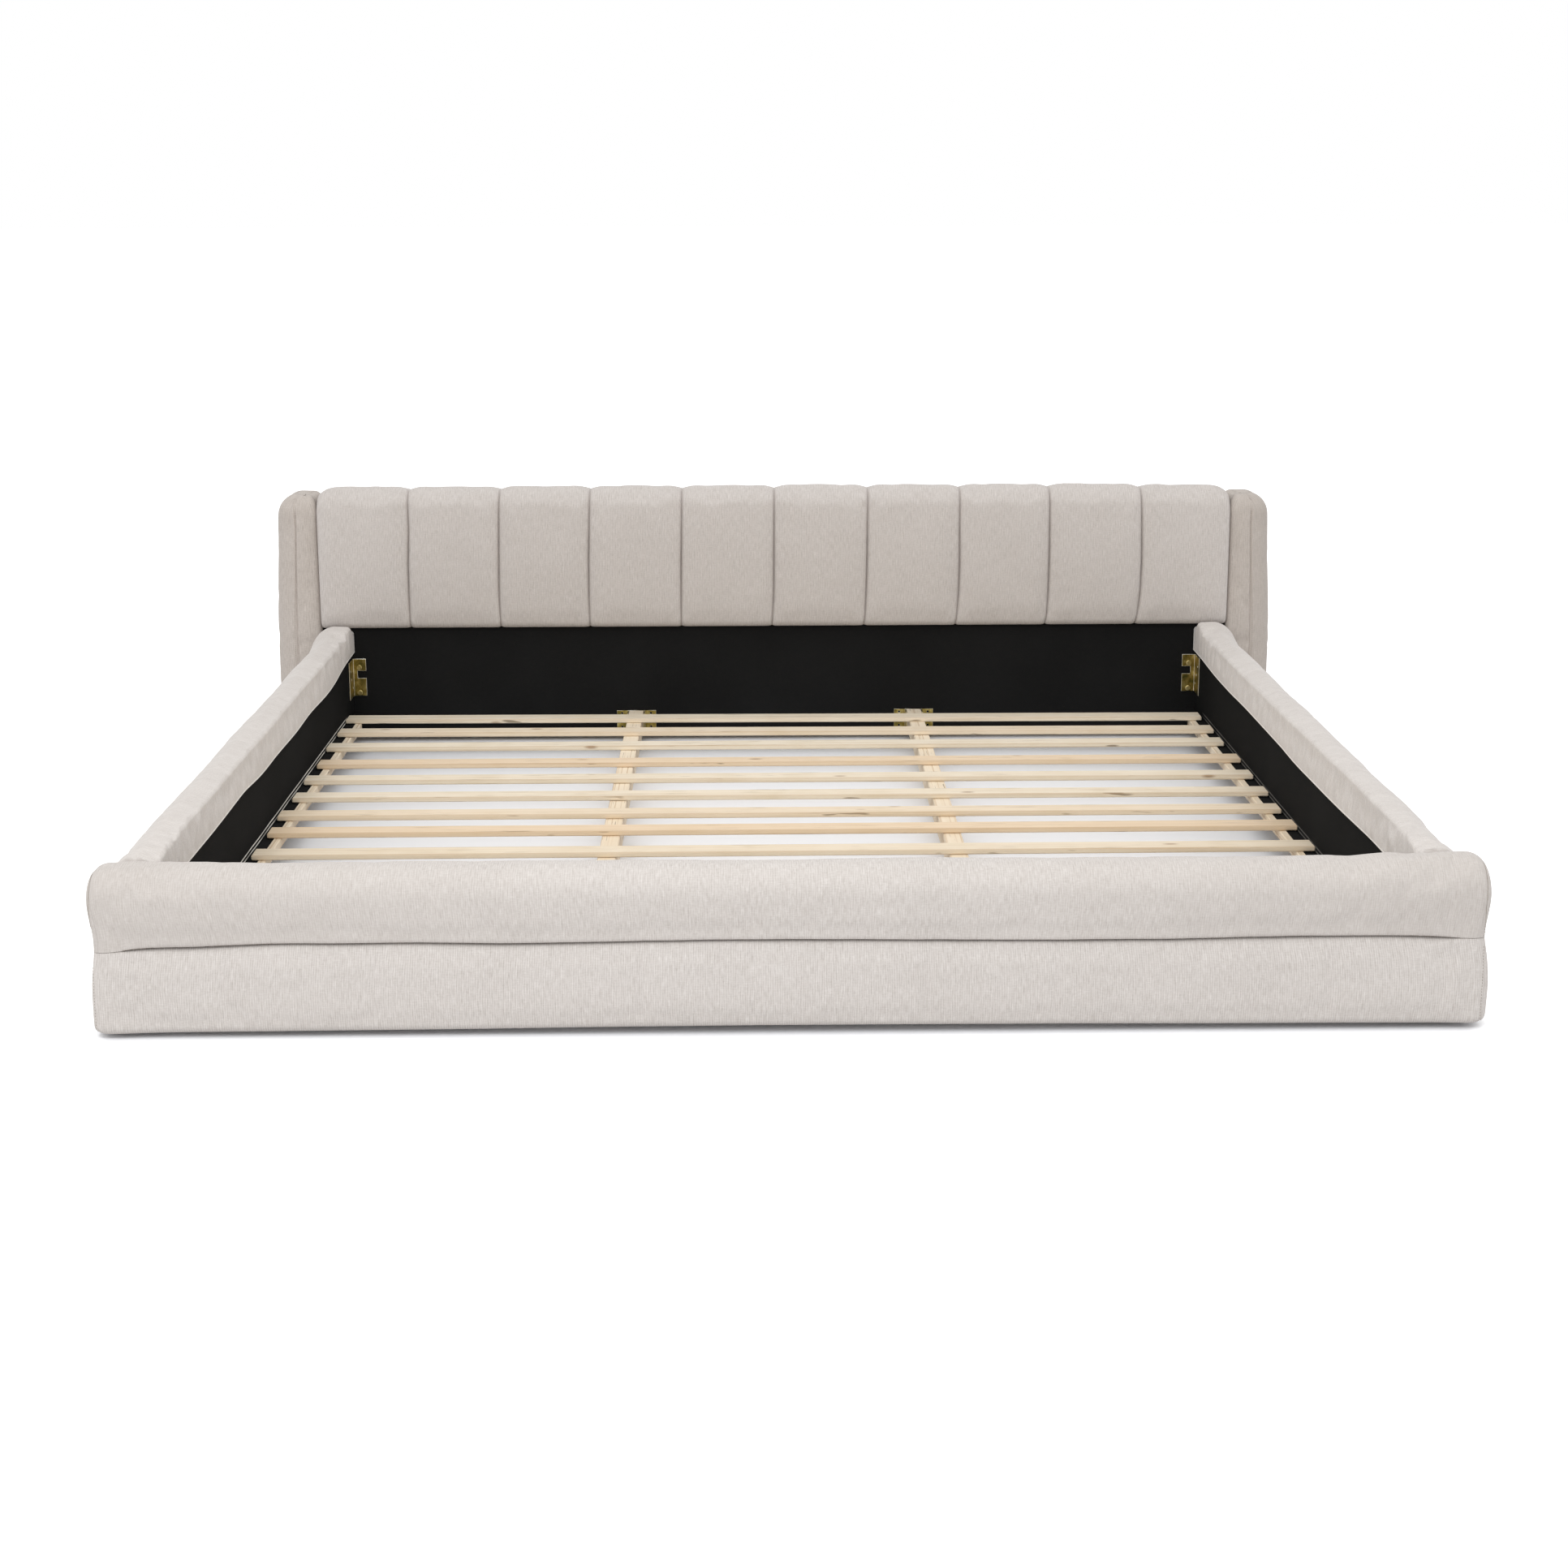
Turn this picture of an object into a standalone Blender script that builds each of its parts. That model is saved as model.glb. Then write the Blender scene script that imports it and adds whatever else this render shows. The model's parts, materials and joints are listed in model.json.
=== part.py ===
"""King-size upholstered bed frame: a channel-sewn headboard between two wings, padded side rails
and a two-roll footboard round a slatted base on two centre beams.

Metres, +Z up, foot end towards -Y, origin on the floor under the middle of the whole frame."""

import math

import bmesh
import bpy
from mathutils import Vector

# Clearance between two pieces that touch, and how far a cutter runs past the face it opens
GAP = 0.0003
OVERRUN = 0.010

# Clear room for the mattress, between the linings
INNER_WIDTH = 1.960
INNER_LENGTH = 2.046

# Boards and the black cloth lining on their inner faces
BOARD = 0.022
LINING = 0.004
BOARD_TOP = 0.225
BOARD_BOTTOM = 0.018
BOARD_EDGE = 0.0015

# Side rails: one padded roll over each board, with a flap that turns down on the inner face
RAIL_PADDING = 0.050
RAIL_THICKNESS = 0.074
RAIL_FLAP = 0.007
RAIL_FLAP_DROP = 0.025
RAIL_FLAP_SAG = 0.007
RAIL_INNER_ROUND = 0.017
RAIL_OUTER_ROUND = 0.058
RAIL_HEM_ROUND = 0.012
RAIL_SIDE_CROWN = 0.003
RAIL_SWELL = 0.008
RAIL_SWELL_OUT = 0.007
RAIL_SWELL_LENGTH = 0.140
RAIL_TUCK_CLEARANCE = 0.005
RAIL_STATIONS = 12
RAIL_SWELL_SHARES = (0.0, 0.25, 0.5, 0.75, 1.0)
RAIL_TUCK_SHARES = (0.12, 0.25, 0.38, 0.5, 1.0)

# The hem of every padded flap
FLAP_EDGE = 0.002

# Footboard: an upper and a lower padded roll that meet in one long fold
FOOT_PADDING = 0.0395
FOOT_DEPTH = 0.084
FOOT_BOTTOM = 0.0075
FOOT_PAST_RAIL = 0.016
FOOT_END_PADDING = 0.030
FOOT_BOARD_BOTTOM = 0.006
FOOT_FLAP = 0.006
FOOT_FLAP_DROP = 0.026
FOOT_INNER_ROUND = 0.020
FOOT_OUTER_ROUND = 0.046
FOOT_LOWER_IN = 0.003
FOOT_HEM_ROUND = 0.014
FOOT_RETURN = 0.010
FOOT_END_ROUND = 0.026
FOLD_HEIGHT = 0.149
FOLD_IN = 0.013
FOLD_ROUND = 0.016
FOLD_WAVE = 0.002
FOOT_WAIST = 0.006
FOOT_WAIST_REACH = 0.075
FOOT_STATIONS = 18

# Headboard: posts and a top rail behind one panel, and the channel pad over its upper part
HEAD_DEPTH = 0.120
HEAD_TOP = 0.592
HEAD_PANEL = 0.018
HEAD_PANEL_BOTTOM = 0.020
HEAD_RAIL_HEIGHT = 0.060
HEAD_BACK_COVER = 0.004
PAD_PAST_WELL = 0.064
PAD_BELOW_RAIL = 0.0042
PAD_FRONT = 0.030
PAD_COVER = 0.066
PAD_SET_BACK = 0.006
PAD_CHANNELS = 10
PAD_END_CHANNEL_LESS = 0.006
PAD_DRAW = 0.015
PAD_CROWN = 0.005
PAD_TOP_DIP = 0.007
PAD_BOTTOM_DIP = 0.002
PAD_BOTTOM_ROUND = 0.020
PAD_TOP_ROUND = 0.055
PAD_TOP_FALL = 0.050
PAD_BACK_FALL = 0.036
PAD_END_ROUND = 0.045
PAD_END_FALL = 0.016
PAD_ACROSS_SHARES = (-1.0, -0.86, -0.55, 0.0, 0.55, 0.86)

# Wings: a padded cover round each headboard post
WING_BELOW_PAD = 0.0165
WING_BOTTOM = 0.012
WING_THICKNESS = 0.1017
WING_FRONT = 0.020
WING_LEAN = 0.013
WING_FRONT_ROUND = 0.030
WING_INNER_ROUND = 0.012
WING_BACK_ROUND = 0.016
WING_BACK_INNER_ROUND = 0.004
WING_CROWN = 0.003
WING_TOP_ROUND = 0.042
WING_TOP_OUT = 0.036
WING_TOP_IN = 0.020
WING_HEIGHT_SHARES = (0.06, 0.25, 0.5, 0.75, 0.94)
WING_INNER_PADDING = 0.015
WING_OUTER_PADDING = 0.0347
WING_BACK_PADDING = 0.014
POST_FRONT = 0.002

# Slatted base
SLAT_TOP = 0.082
SLAT_THICKNESS = 0.010
SLAT_WIDTH = 0.050
SLAT_END_GAP = 0.005
SLAT_EDGE = 0.002
FIRST_SLAT = 0.123
LAST_SLAT = 0.153
CLEAT_WIDTH = 0.014
CLEAT_HEIGHT = 0.018
LEDGER_WIDTH = 0.021
LEDGER_HEIGHT = 0.033
LEDGER_DROP = 0.002
BEAM_WIDTH = 0.034
BEAM_HEIGHT = 0.040
BEAM_OFFSET = 0.323

# The slats lie loose, so each is a little out of place: along the bed as a share of the pitch,
# sideways as a share of the gap at its ends, and turned by a share of the slat's width over its length
SLAT_SHIFT_SHARES = (0.0, 0.03, 0.08, -0.03, -0.04, -0.05, -0.05, 0.06, -0.01, 0.03, -0.02, 0.02, -0.01)
SLAT_SIDE_SHARES = (-0.85, -0.2, -0.4, 0.85, 0.3, 0.7, 0.0, 0.85, 0.85, 0.3, 0.4, 0.65, 0.85)
SLAT_SKEW_SHARES = (0.41, 0.36, -0.08, -0.1, 0.0, -0.06, -0.14, -0.2, -0.3, 0.1, -0.15, 0.05, -0.05)

# Folded steel brackets
PLATE = 0.0025
CRADLE_EAR = 0.0257
CRADLE_PLATE_BELOW = 0.0022
CRADLE_REACH = 0.040
CRADLE_HOLE_RADIUS = 0.0026
CRADLE_HOLE_INSET = 0.012
CRADLE_HOLE_FROM_EDGE = 0.0065
HOOK_HEIGHT = 0.0875
HOOK_LEAF = 0.032
HOOK_RAIL_LEAF = 0.061
HOOK_BELOW_FLAP = 0.0025
HOOK_NOTCH_DEPTH = 0.020
HOOK_NOTCH_HEIGHT = 0.017
HOOK_NOTCH_RISE = 0.042
HOOK_HOLE_RADIUS = 0.0025
HOOK_HOLE_COUNT = 3

# Bolts through the corner brackets
BOLT_RADIUS = 0.0035
BOLT_HEAD_RADIUS = 0.0062
BOLT_HEAD_HEIGHT = 0.0028
BOLT_HEAD_ROUND = 0.0012
BOLT_LENGTH = 0.018
BOLT_CLEARANCE = 0.0005
BOLT_UPPER_DROP = 0.0205
BOLT_LOWER_RISE = 0.0075

# Glides under the corners, and a levelling foot on a threaded stem under each beam
GLIDE_RADIUS = 0.0105
POST_GLIDE_RADIUS = 0.018
GLIDE_ROUND = 0.0015
FOOT_PAD_RADIUS = 0.019
FOOT_PAD_HEIGHT = 0.008
FOOT_HUB_RADIUS = 0.009
FOOT_HUB_HEIGHT = 0.004
STEM_RADIUS = 0.004
STEM_IN_BEAM = 0.0163
STEM_BORE_CLEARANCE = 0.0006
STEM_BORE_SPARE = 0.016

# Segments of a full turn
ROUND_STEPS = 24
HOLE_STEPS = 12

# Where the main faces stand
SIDE_FACE = INNER_WIDTH / 2
FOOT_FACE = -(FOOT_DEPTH + INNER_LENGTH + HEAD_DEPTH) / 2 + FOOT_DEPTH
HEAD_FACE = FOOT_FACE + INNER_LENGTH
RAIL_TOP = BOARD_TOP + RAIL_PADDING
RAIL_FLAP_LOW = BOARD_TOP - RAIL_FLAP_DROP
RAIL_FOOT_END = FOOT_FACE + FOOT_FLAP + GAP
RAIL_HEAD_END = HEAD_FACE - GAP
RAIL_TUCK_LENGTH = 2 * (WING_FRONT + WING_CROWN)
FOOT_TOP = BOARD_TOP + FOOT_PADDING
FOOT_FLAP_LOW = BOARD_TOP - FOOT_FLAP_DROP
FOOT_WIDTH = INNER_WIDTH + 2 * (RAIL_THICKNESS + FOOT_PAST_RAIL)
FOOT_BOARD_WIDTH = FOOT_WIDTH - 2 * FOOT_END_PADDING
FRAME_TOP = HEAD_TOP - PAD_COVER - GAP
PAD_WIDTH = INNER_WIDTH + 2 * PAD_PAST_WELL
PAD_BOTTOM = RAIL_TOP - PAD_BELOW_RAIL
PAD_SEAM_PITCH = (PAD_WIDTH + 2 * PAD_END_CHANNEL_LESS) / PAD_CHANNELS
WING_TOP = HEAD_TOP - WING_BELOW_PAD
WING_INNER_FACE = PAD_WIDTH / 2 + GAP
WING_OUTER_FACE = WING_INNER_FACE + WING_THICKNESS
POST_INNER_FACE = WING_INNER_FACE + WING_INNER_PADDING
POST_OUTER_FACE = WING_OUTER_FACE - WING_OUTER_PADDING
SUPPORT_TOP = SLAT_TOP - SLAT_THICKNESS - GAP
SLAT_LENGTH = INNER_WIDTH - 2 * SLAT_END_GAP
SLAT_PITCH = (INNER_LENGTH - FIRST_SLAT - LAST_SLAT) / (len(SLAT_SHIFT_SHARES) - 1)
BEAM_BOTTOM = SUPPORT_TOP - BEAM_HEIGHT
CRADLE_HALF = BEAM_WIDTH / 2 + GAP
HOOK_BOTTOM = RAIL_FLAP_LOW - HOOK_BELOW_FLAP - HOOK_HEIGHT
BOLT_UPPER_RISE = HOOK_HEIGHT - BOLT_UPPER_DROP
SIDES = {"left": -1, "right": 1}

PARTS = "upholstered_bed_frame"
CUTTERS = "cutters"


def clear_scene():
    for obj in list(bpy.data.objects):
        bpy.data.objects.remove(obj, do_unlink=True)
    for name in (PARTS, CUTTERS):
        bpy.context.scene.collection.children.link(bpy.data.collections.new(name))


def make_material(name, colour, roughness, metallic=0.0):
    material = bpy.data.materials.new(name)
    material.use_nodes = True
    shader = material.node_tree.nodes["Principled BSDF"]
    shader.inputs["Base Color"].default_value = (*colour, 1.0)
    shader.inputs["Roughness"].default_value = roughness
    shader.inputs["Metallic"].default_value = metallic
    material.diffuse_color = (*colour, 1.0)
    return material


def add_object(name, bm, material, smooth_angle=None):
    """Turns the bmesh into a part with outward faces."""
    bmesh.ops.recalc_face_normals(bm, faces=bm.faces[:])
    mesh = bpy.data.meshes.new(name)
    bm.to_mesh(mesh)
    bm.free()
    if smooth_angle is not None:
        mesh.shade_smooth()
        mesh.set_sharp_from_angle(angle=math.radians(smooth_angle))
    obj = bpy.data.objects.new(name, mesh)
    obj.data.materials.append(material)
    bpy.data.collections[PARTS].objects.link(obj)
    return obj


def block_bmesh(corner, opposite):
    """A box between any two opposite corners."""
    bm = bmesh.new()
    bmesh.ops.create_cube(bm, size=1)
    corner, opposite = Vector(corner), Vector(opposite)
    extent = Vector([abs(length) for length in opposite - corner])
    bmesh.ops.scale(bm, vec=extent, verts=bm.verts[:])
    bmesh.ops.translate(bm, vec=(corner + opposite) / 2, verts=bm.verts[:])
    return bm


def add_block(name, corner, opposite, material, edge=None):
    """A rectangular piece between two opposite corners, with its edges eased by a bevel."""
    obj = add_object(name, block_bmesh(corner, opposite), material)
    if edge:
        bevel = obj.modifiers.new("eased edges", "BEVEL")
        bevel.width = edge
        bevel.segments = 1
    return obj


def add_cutter(name, bm):
    bmesh.ops.recalc_face_normals(bm, faces=bm.faces[:])
    mesh = bpy.data.meshes.new(name)
    bm.to_mesh(mesh)
    bm.free()
    obj = bpy.data.objects.new(name, mesh)
    obj.hide_render = True
    obj.display_type = "WIRE"
    bpy.data.collections[CUTTERS].objects.link(obj)
    return obj


def combine(obj, cutter, operation="DIFFERENCE"):
    modifier = obj.modifiers.new(cutter.name, "BOOLEAN")
    modifier.operation = operation
    modifier.object = cutter


def cut_block(obj, corner, opposite):
    combine(obj, add_cutter(f"{obj.name}_cut_{len(obj.modifiers)}", block_bmesh(corner, opposite)))


def cut_hole(obj, start, end, radius):
    """Cuts a round hole between two points on one line."""
    start, end = Vector(start), Vector(end)
    bm = bmesh.new()
    bmesh.ops.create_cone(
        bm, cap_ends=True, segments=HOLE_STEPS, radius1=radius, radius2=radius, depth=(end - start).length
    )
    turn = (end - start).to_track_quat("Z", "Y").to_matrix()
    bmesh.ops.rotate(bm, matrix=turn, verts=bm.verts[:])
    bmesh.ops.translate(bm, vec=(start + end) / 2, verts=bm.verts[:])
    combine(obj, add_cutter(f"{obj.name}_hole_{len(obj.modifiers)}", bm))


def add_turned(name, profile, material, location, lie_along_y=False):
    """A turned piece: the profile of (radius, height) points runs down the outer side."""
    bm = bmesh.new()
    points = [bm.verts.new((radius, 0, height)) for radius, height in profile]
    for upper, lower in zip(points, points[1:]):
        bm.edges.new((upper, lower))
    mesh = bpy.data.meshes.new(name)
    bm.to_mesh(mesh)
    bm.free()
    obj = bpy.data.objects.new(name, mesh)
    screw = obj.modifiers.new("turned", "SCREW")
    screw.steps = ROUND_STEPS
    screw.render_steps = ROUND_STEPS
    screw.use_merge_vertices = True
    screw.merge_threshold = 0.0001
    obj.location = location
    if lie_along_y:
        obj.rotation_euler = (math.radians(90), 0, 0)
    obj.data.materials.append(material)
    bpy.data.collections[PARTS].objects.link(obj)
    return obj


def add_loft(name, rings, material, smooth_angle=40):
    """A closed skin through rings that all have the same number of points, with a flat cap on each end."""
    bm = bmesh.new()
    loops = [[bm.verts.new(point) for point in ring] for ring in rings]
    count = len(loops[0])
    for near, far in zip(loops, loops[1:]):
        for i in range(count):
            j = (i + 1) % count
            bm.faces.new((near[i], near[j], far[j], far[i]))
    bm.faces.new(loops[0])
    bm.faces.new(list(reversed(loops[-1])))
    return add_object(name, bm, material, smooth_angle)


def arc(centre, radii, start, end, steps):
    """Points on a quarter-like arc from start to end degrees, both ends included."""
    points = []
    for i in range(steps + 1):
        angle = math.radians(start + (end - start) * i / steps)
        points.append((centre[0] + radii[0] * math.cos(angle), centre[1] + radii[1] * math.sin(angle)))
    return points


def smooth_step(share):
    share = min(max(share, 0.0), 1.0)
    return share * share * (3 - 2 * share)


def pad_ring(x, share):
    """The headboard pad's section at x: share runs from -1 at a channel's left seam to 1 at its right."""
    pull = abs(share) ** 4
    end = max(0, 1 - (PAD_WIDTH / 2 - abs(x)) / PAD_END_ROUND)
    front = HEAD_FACE - PAD_FRONT + PAD_DRAW * pull
    top = HEAD_TOP - PAD_TOP_DIP * pull - PAD_END_FALL * (1 - math.sqrt(1 - min(end, 1) ** 2))
    bottom = PAD_BOTTOM + PAD_BOTTOM_DIP * pull
    back = HEAD_FACE + HEAD_DEPTH - PAD_SET_BACK
    seat = HEAD_FACE + LINING - GAP
    under = HEAD_TOP - PAD_COVER
    crown = PAD_CROWN * (1 - pull)
    low, high = bottom + PAD_BOTTOM_ROUND, top - PAD_TOP_FALL
    outline = [(seat, bottom)]
    outline += arc((front + PAD_BOTTOM_ROUND, low), (PAD_BOTTOM_ROUND,) * 2, 270, 180, 3)
    outline += [(front - crown * 4 * t * (1 - t), low + (high - low) * t) for t in (1 / 3, 2 / 3)]
    ridge = front + PAD_TOP_ROUND
    outline += arc((ridge, high), (PAD_TOP_ROUND, PAD_TOP_FALL), 180, 90, 5)
    outline += arc((ridge, top - PAD_BACK_FALL), (back - ridge, PAD_BACK_FALL), 90, 0, 3)[1:]
    outline += [(back, under), (seat, under)]
    return [(x, y, z) for y, z in outline]


def add_headboard_pad(material):
    """Ten upright channels, each crowned between two deep seams that also run over the top."""
    seams = [PAD_SEAM_PITCH * (number - PAD_CHANNELS / 2) for number in range(1, PAD_CHANNELS)]
    seams = [-PAD_WIDTH / 2, *seams, PAD_WIDTH / 2]
    rings = []
    for left, right in zip(seams, seams[1:]):
        rings += [pad_ring(left + (right - left) * (1 + share) / 2, share) for share in PAD_ACROSS_SHARES]
    rings.append(pad_ring(PAD_WIDTH / 2, 1.0))
    return add_loft("headboard_channel_pad", rings, material)


def rail_ring(side, y):
    """A rail cover's section at y: it swells before its head end, which tucks under the headboard pad."""
    swell = smooth_step(1 - (RAIL_HEAD_END - RAIL_TUCK_LENGTH - y) / RAIL_SWELL_LENGTH)
    tuck = smooth_step((y - RAIL_HEAD_END + RAIL_TUCK_LENGTH) / (RAIL_TUCK_LENGTH / 2))
    share = (y - RAIL_FOOT_END) / (RAIL_HEAD_END - RAIL_FOOT_END)
    free_top = RAIL_TOP + RAIL_SWELL * swell
    top = free_top + (PAD_BOTTOM - RAIL_TUCK_CLEARANCE - free_top) * tuck
    free_outer = RAIL_THICKNESS + RAIL_SWELL_OUT * swell
    tucked_outer = WING_INNER_FACE - GAP - RAIL_TUCK_CLEARANCE - SIDE_FACE
    outer = free_outer + (tucked_outer - free_outer) * tuck
    hem = RAIL_FLAP_LOW - RAIL_FLAP_SAG * math.sin(math.pi * share)
    board = LINING + GAP + BOARD + GAP
    inner_top = top - RAIL_INNER_ROUND
    outer_top = top - RAIL_OUTER_ROUND
    outer_low = BOARD_BOTTOM + RAIL_HEM_ROUND
    outline = [(-FLAP_EDGE, hem), (-RAIL_FLAP, hem + RAIL_FLAP)]
    outline += arc((RAIL_INNER_ROUND - RAIL_FLAP, inner_top), (RAIL_INNER_ROUND,) * 2, 180, 90, 3)
    outline += arc((outer - RAIL_OUTER_ROUND, outer_top), (RAIL_OUTER_ROUND,) * 2, 90, 0, 5)
    outline += [(outer + RAIL_SIDE_CROWN * (1 - tuck), (outer_top + outer_low) / 2)]
    outline += arc((outer - RAIL_HEM_ROUND, outer_low), (RAIL_HEM_ROUND,) * 2, 0, -90, 2)
    outline += [(board, BOARD_BOTTOM), (board, BOARD_TOP + GAP), (-GAP, BOARD_TOP + GAP), (-GAP, hem)]
    return [(side * (SIDE_FACE + out), y, z) for out, z in outline]


def add_rail_cover(name, side, material):
    """The padded roll over one side rail. Its head end slips under the headboard pad, inside the wing."""
    swell_end = RAIL_HEAD_END - RAIL_TUCK_LENGTH
    swell_start = swell_end - RAIL_SWELL_LENGTH
    free = swell_start - RAIL_FOOT_END
    places = [RAIL_FOOT_END + free * i / RAIL_STATIONS for i in range(RAIL_STATIONS)]
    places += [swell_start + RAIL_SWELL_LENGTH * share for share in RAIL_SWELL_SHARES]
    places += [swell_end + RAIL_TUCK_LENGTH * share for share in RAIL_TUCK_SHARES]
    return add_loft(name, [rail_ring(side, y) for y in places], material)


def fold_height(x):
    """The long fold between the footboard's rolls wanders a little up and down."""
    turn = 2 * math.pi * x / FOOT_WIDTH
    wave = math.sin(3 * turn) + math.cos(3 * turn) - math.sin(4 * turn) - math.sin(2 * turn)
    return FOLD_HEIGHT + FOLD_WAVE * wave / 2


def foot_stations():
    """Places across the footboard with their end inset from 0 to 1, closer together round each end."""
    free = FOOT_WIDTH / 2 - FOOT_END_ROUND
    ends = [(free + FOOT_END_ROUND * math.sin(a), 1 - math.cos(a)) for a in map(math.radians, (30, 60, 82))]
    middle = [(-free + 2 * free * i / FOOT_STATIONS, 0.0) for i in range(FOOT_STATIONS + 1)]
    return [(-x, inset) for x, inset in reversed(ends)] + middle + ends


def foot_point(x, out, z):
    return (x, FOOT_FACE - out, z)


def waisted_point(x, out, z):
    """A point of either roll, with the footboard's ends drawn in where the rolls meet."""
    share = smooth_step(1 - abs(z - FOLD_HEIGHT) / FOOT_WAIST_REACH)
    return foot_point(x * (1 - FOOT_WAIST * share / (FOOT_WIDTH / 2)), out, z)


def upper_roll_ring(x, inset):
    """The footboard's upper roll: over the top of the board, with a flap down its inner face."""
    drawn = FOOT_END_ROUND * inset
    top = FOOT_TOP - drawn
    front = FOOT_DEPTH - drawn / 2
    flap = FOOT_FLAP * (1 - inset)
    low = fold_height(x) + GAP / 2 + drawn / 4
    inner_top = top - FOOT_INNER_ROUND
    outer_top = top - FOOT_OUTER_ROUND
    outline = [(-FLAP_EDGE * (1 - inset), FOOT_FLAP_LOW), (-flap, (FOOT_FLAP_LOW + inner_top) / 2)]
    outline += arc((FOOT_INNER_ROUND - flap, inner_top), (FOOT_INNER_ROUND,) * 2, 180, 90, 3)
    outline += arc((front - FOOT_OUTER_ROUND, outer_top), (FOOT_OUTER_ROUND,) * 2, 90, 0, 5)
    outline += arc((front - FOLD_IN, low + FOLD_ROUND), (FOLD_IN, FOLD_ROUND), -20, -90, 3)
    outline += [(FOOT_RETURN, low), (FOOT_RETURN, FOOT_FLAP_LOW)]
    return [waisted_point(x, out, z) for out, z in outline]


def lower_roll_ring(x, inset):
    """The footboard's lower roll, from the fold down to the hem."""
    drawn = FOOT_END_ROUND * inset
    front = FOOT_DEPTH - FOOT_LOWER_IN - drawn / 2
    top = fold_height(x) - GAP / 2 - drawn / 4
    bottom = FOOT_BOTTOM + drawn / 4
    outline = [(FOOT_RETURN, top)]
    outline += arc((front - FOLD_IN, top - FOLD_ROUND), (FOLD_IN, FOLD_ROUND), 90, 0, 3)
    outline += arc((front - FOOT_HEM_ROUND, bottom + FOOT_HEM_ROUND), (FOOT_HEM_ROUND,) * 2, 0, -90, 3)
    outline += [(FOOT_RETURN, bottom)]
    return [waisted_point(x, out, z) for out, z in outline]


def add_footboard(materials):
    """The board, its lining and the two rolls that wrap its front, its top and both ends."""
    board_back = LINING + GAP
    board_front = board_back + BOARD
    half = FOOT_BOARD_WIDTH / 2
    add_block(
        "footboard_panel",
        foot_point(-half, board_front, FOOT_BOARD_BOTTOM),
        foot_point(half, board_back, BOARD_TOP),
        materials["board"],
        BOARD_EDGE,
    )
    add_block(
        "footboard_lining",
        foot_point(-half, LINING, BOARD_BOTTOM),
        foot_point(half, 0, BOARD_TOP),
        materials["lining"],
    )
    for name, ring in (("footboard_upper_roll", upper_roll_ring), ("footboard_lower_roll", lower_roll_ring)):
        rings = [ring(x, inset) for x, inset in foot_stations()]
        roll = add_loft(name, rings, materials["fabric"])
        cut_block(
            roll,
            foot_point(-half - GAP, board_front + GAP, -OVERRUN),
            foot_point(half + GAP, -GAP, BOARD_TOP + GAP),
        )
    for name, side in SIDES.items():
        middle = (board_back + board_front) / 2
        add_glide(f"{name}_foot_glide", side * (half - BOARD), FOOT_FACE - middle, GLIDE_RADIUS, materials)


def wing_ring(side, z, crown, inset_out, inset_in):
    """The wing cover's plan at height z."""
    lean = WING_LEAN * smooth_step((z - BOARD_TOP) / (WING_TOP - BOARD_TOP))
    outer = WING_OUTER_FACE - lean - inset_out
    inner = WING_INNER_FACE + inset_in
    front = HEAD_FACE - WING_FRONT + inset_in
    back = HEAD_FACE + HEAD_DEPTH - inset_in
    corners = (
        ((inner, front), WING_INNER_ROUND, 180, 270),
        ((outer, front), WING_FRONT_ROUND, 270, 360),
        ((outer, back), WING_BACK_ROUND, 0, 90),
        ((inner, back), WING_BACK_INNER_ROUND, 90, 180),
    )
    outline = []
    for (x, y), radius, start, end in corners:
        centre = (x + radius * (1 if x == inner else -1), y + radius * (1 if y == front else -1))
        outline += arc(centre, (radius, radius), start, end, 3)
        if (x, y) == (inner, front):
            outline.append(((inner + outer) / 2, front - crown))
    return [(side * x, y, z) for x, y in outline]


def add_wing(name, side, materials):
    """A timber post in a padded cover that wraps its front, its outer side and its back."""
    post_front = HEAD_FACE - POST_FRONT
    post_back = HEAD_FACE + HEAD_DEPTH - WING_BACK_PADDING
    post_bottom = FOOT_BOARD_BOTTOM
    add_block(
        f"{name}_wing_post",
        (side * POST_INNER_FACE, post_front, post_bottom),
        (side * POST_OUTER_FACE, post_back, FRAME_TOP),
        materials["board"],
        BOARD_EDGE,
    )
    rings = [wing_ring(side, WING_BOTTOM, 0, 0, 0)]
    straight = WING_TOP - WING_TOP_ROUND
    for share in WING_HEIGHT_SHARES:
        height = WING_BOTTOM + (straight - WING_BOTTOM) * share
        rings.append(wing_ring(side, height, WING_CROWN, 0, 0))
    for angle in map(math.radians, (0, 30, 55, 75, 90)):
        fall = 1 - math.cos(angle)
        height = straight + WING_TOP_ROUND * math.sin(angle)
        rings.append(wing_ring(side, height, WING_CROWN, WING_TOP_OUT * fall, WING_TOP_IN * fall))
    cover = add_loft(f"{name}_wing_cover", rings, materials["fabric"])
    cut_block(
        cover,
        (side * (POST_INNER_FACE - GAP), post_front - GAP, -OVERRUN),
        (side * (POST_OUTER_FACE + GAP), post_back + GAP, FRAME_TOP + GAP),
    )
    cut_block(
        cover,
        (side * (WING_INNER_FACE - OVERRUN), HEAD_FACE - GAP, -OVERRUN),
        (side * (POST_INNER_FACE + OVERRUN), HEAD_FACE + HEAD_DEPTH - HEAD_BACK_COVER, FRAME_TOP + GAP),
    )
    glide_x = side * (POST_INNER_FACE + POST_OUTER_FACE) / 2
    add_glide(f"{name}_head_glide", glide_x, (post_front + post_back) / 2, POST_GLIDE_RADIUS, materials)


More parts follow.
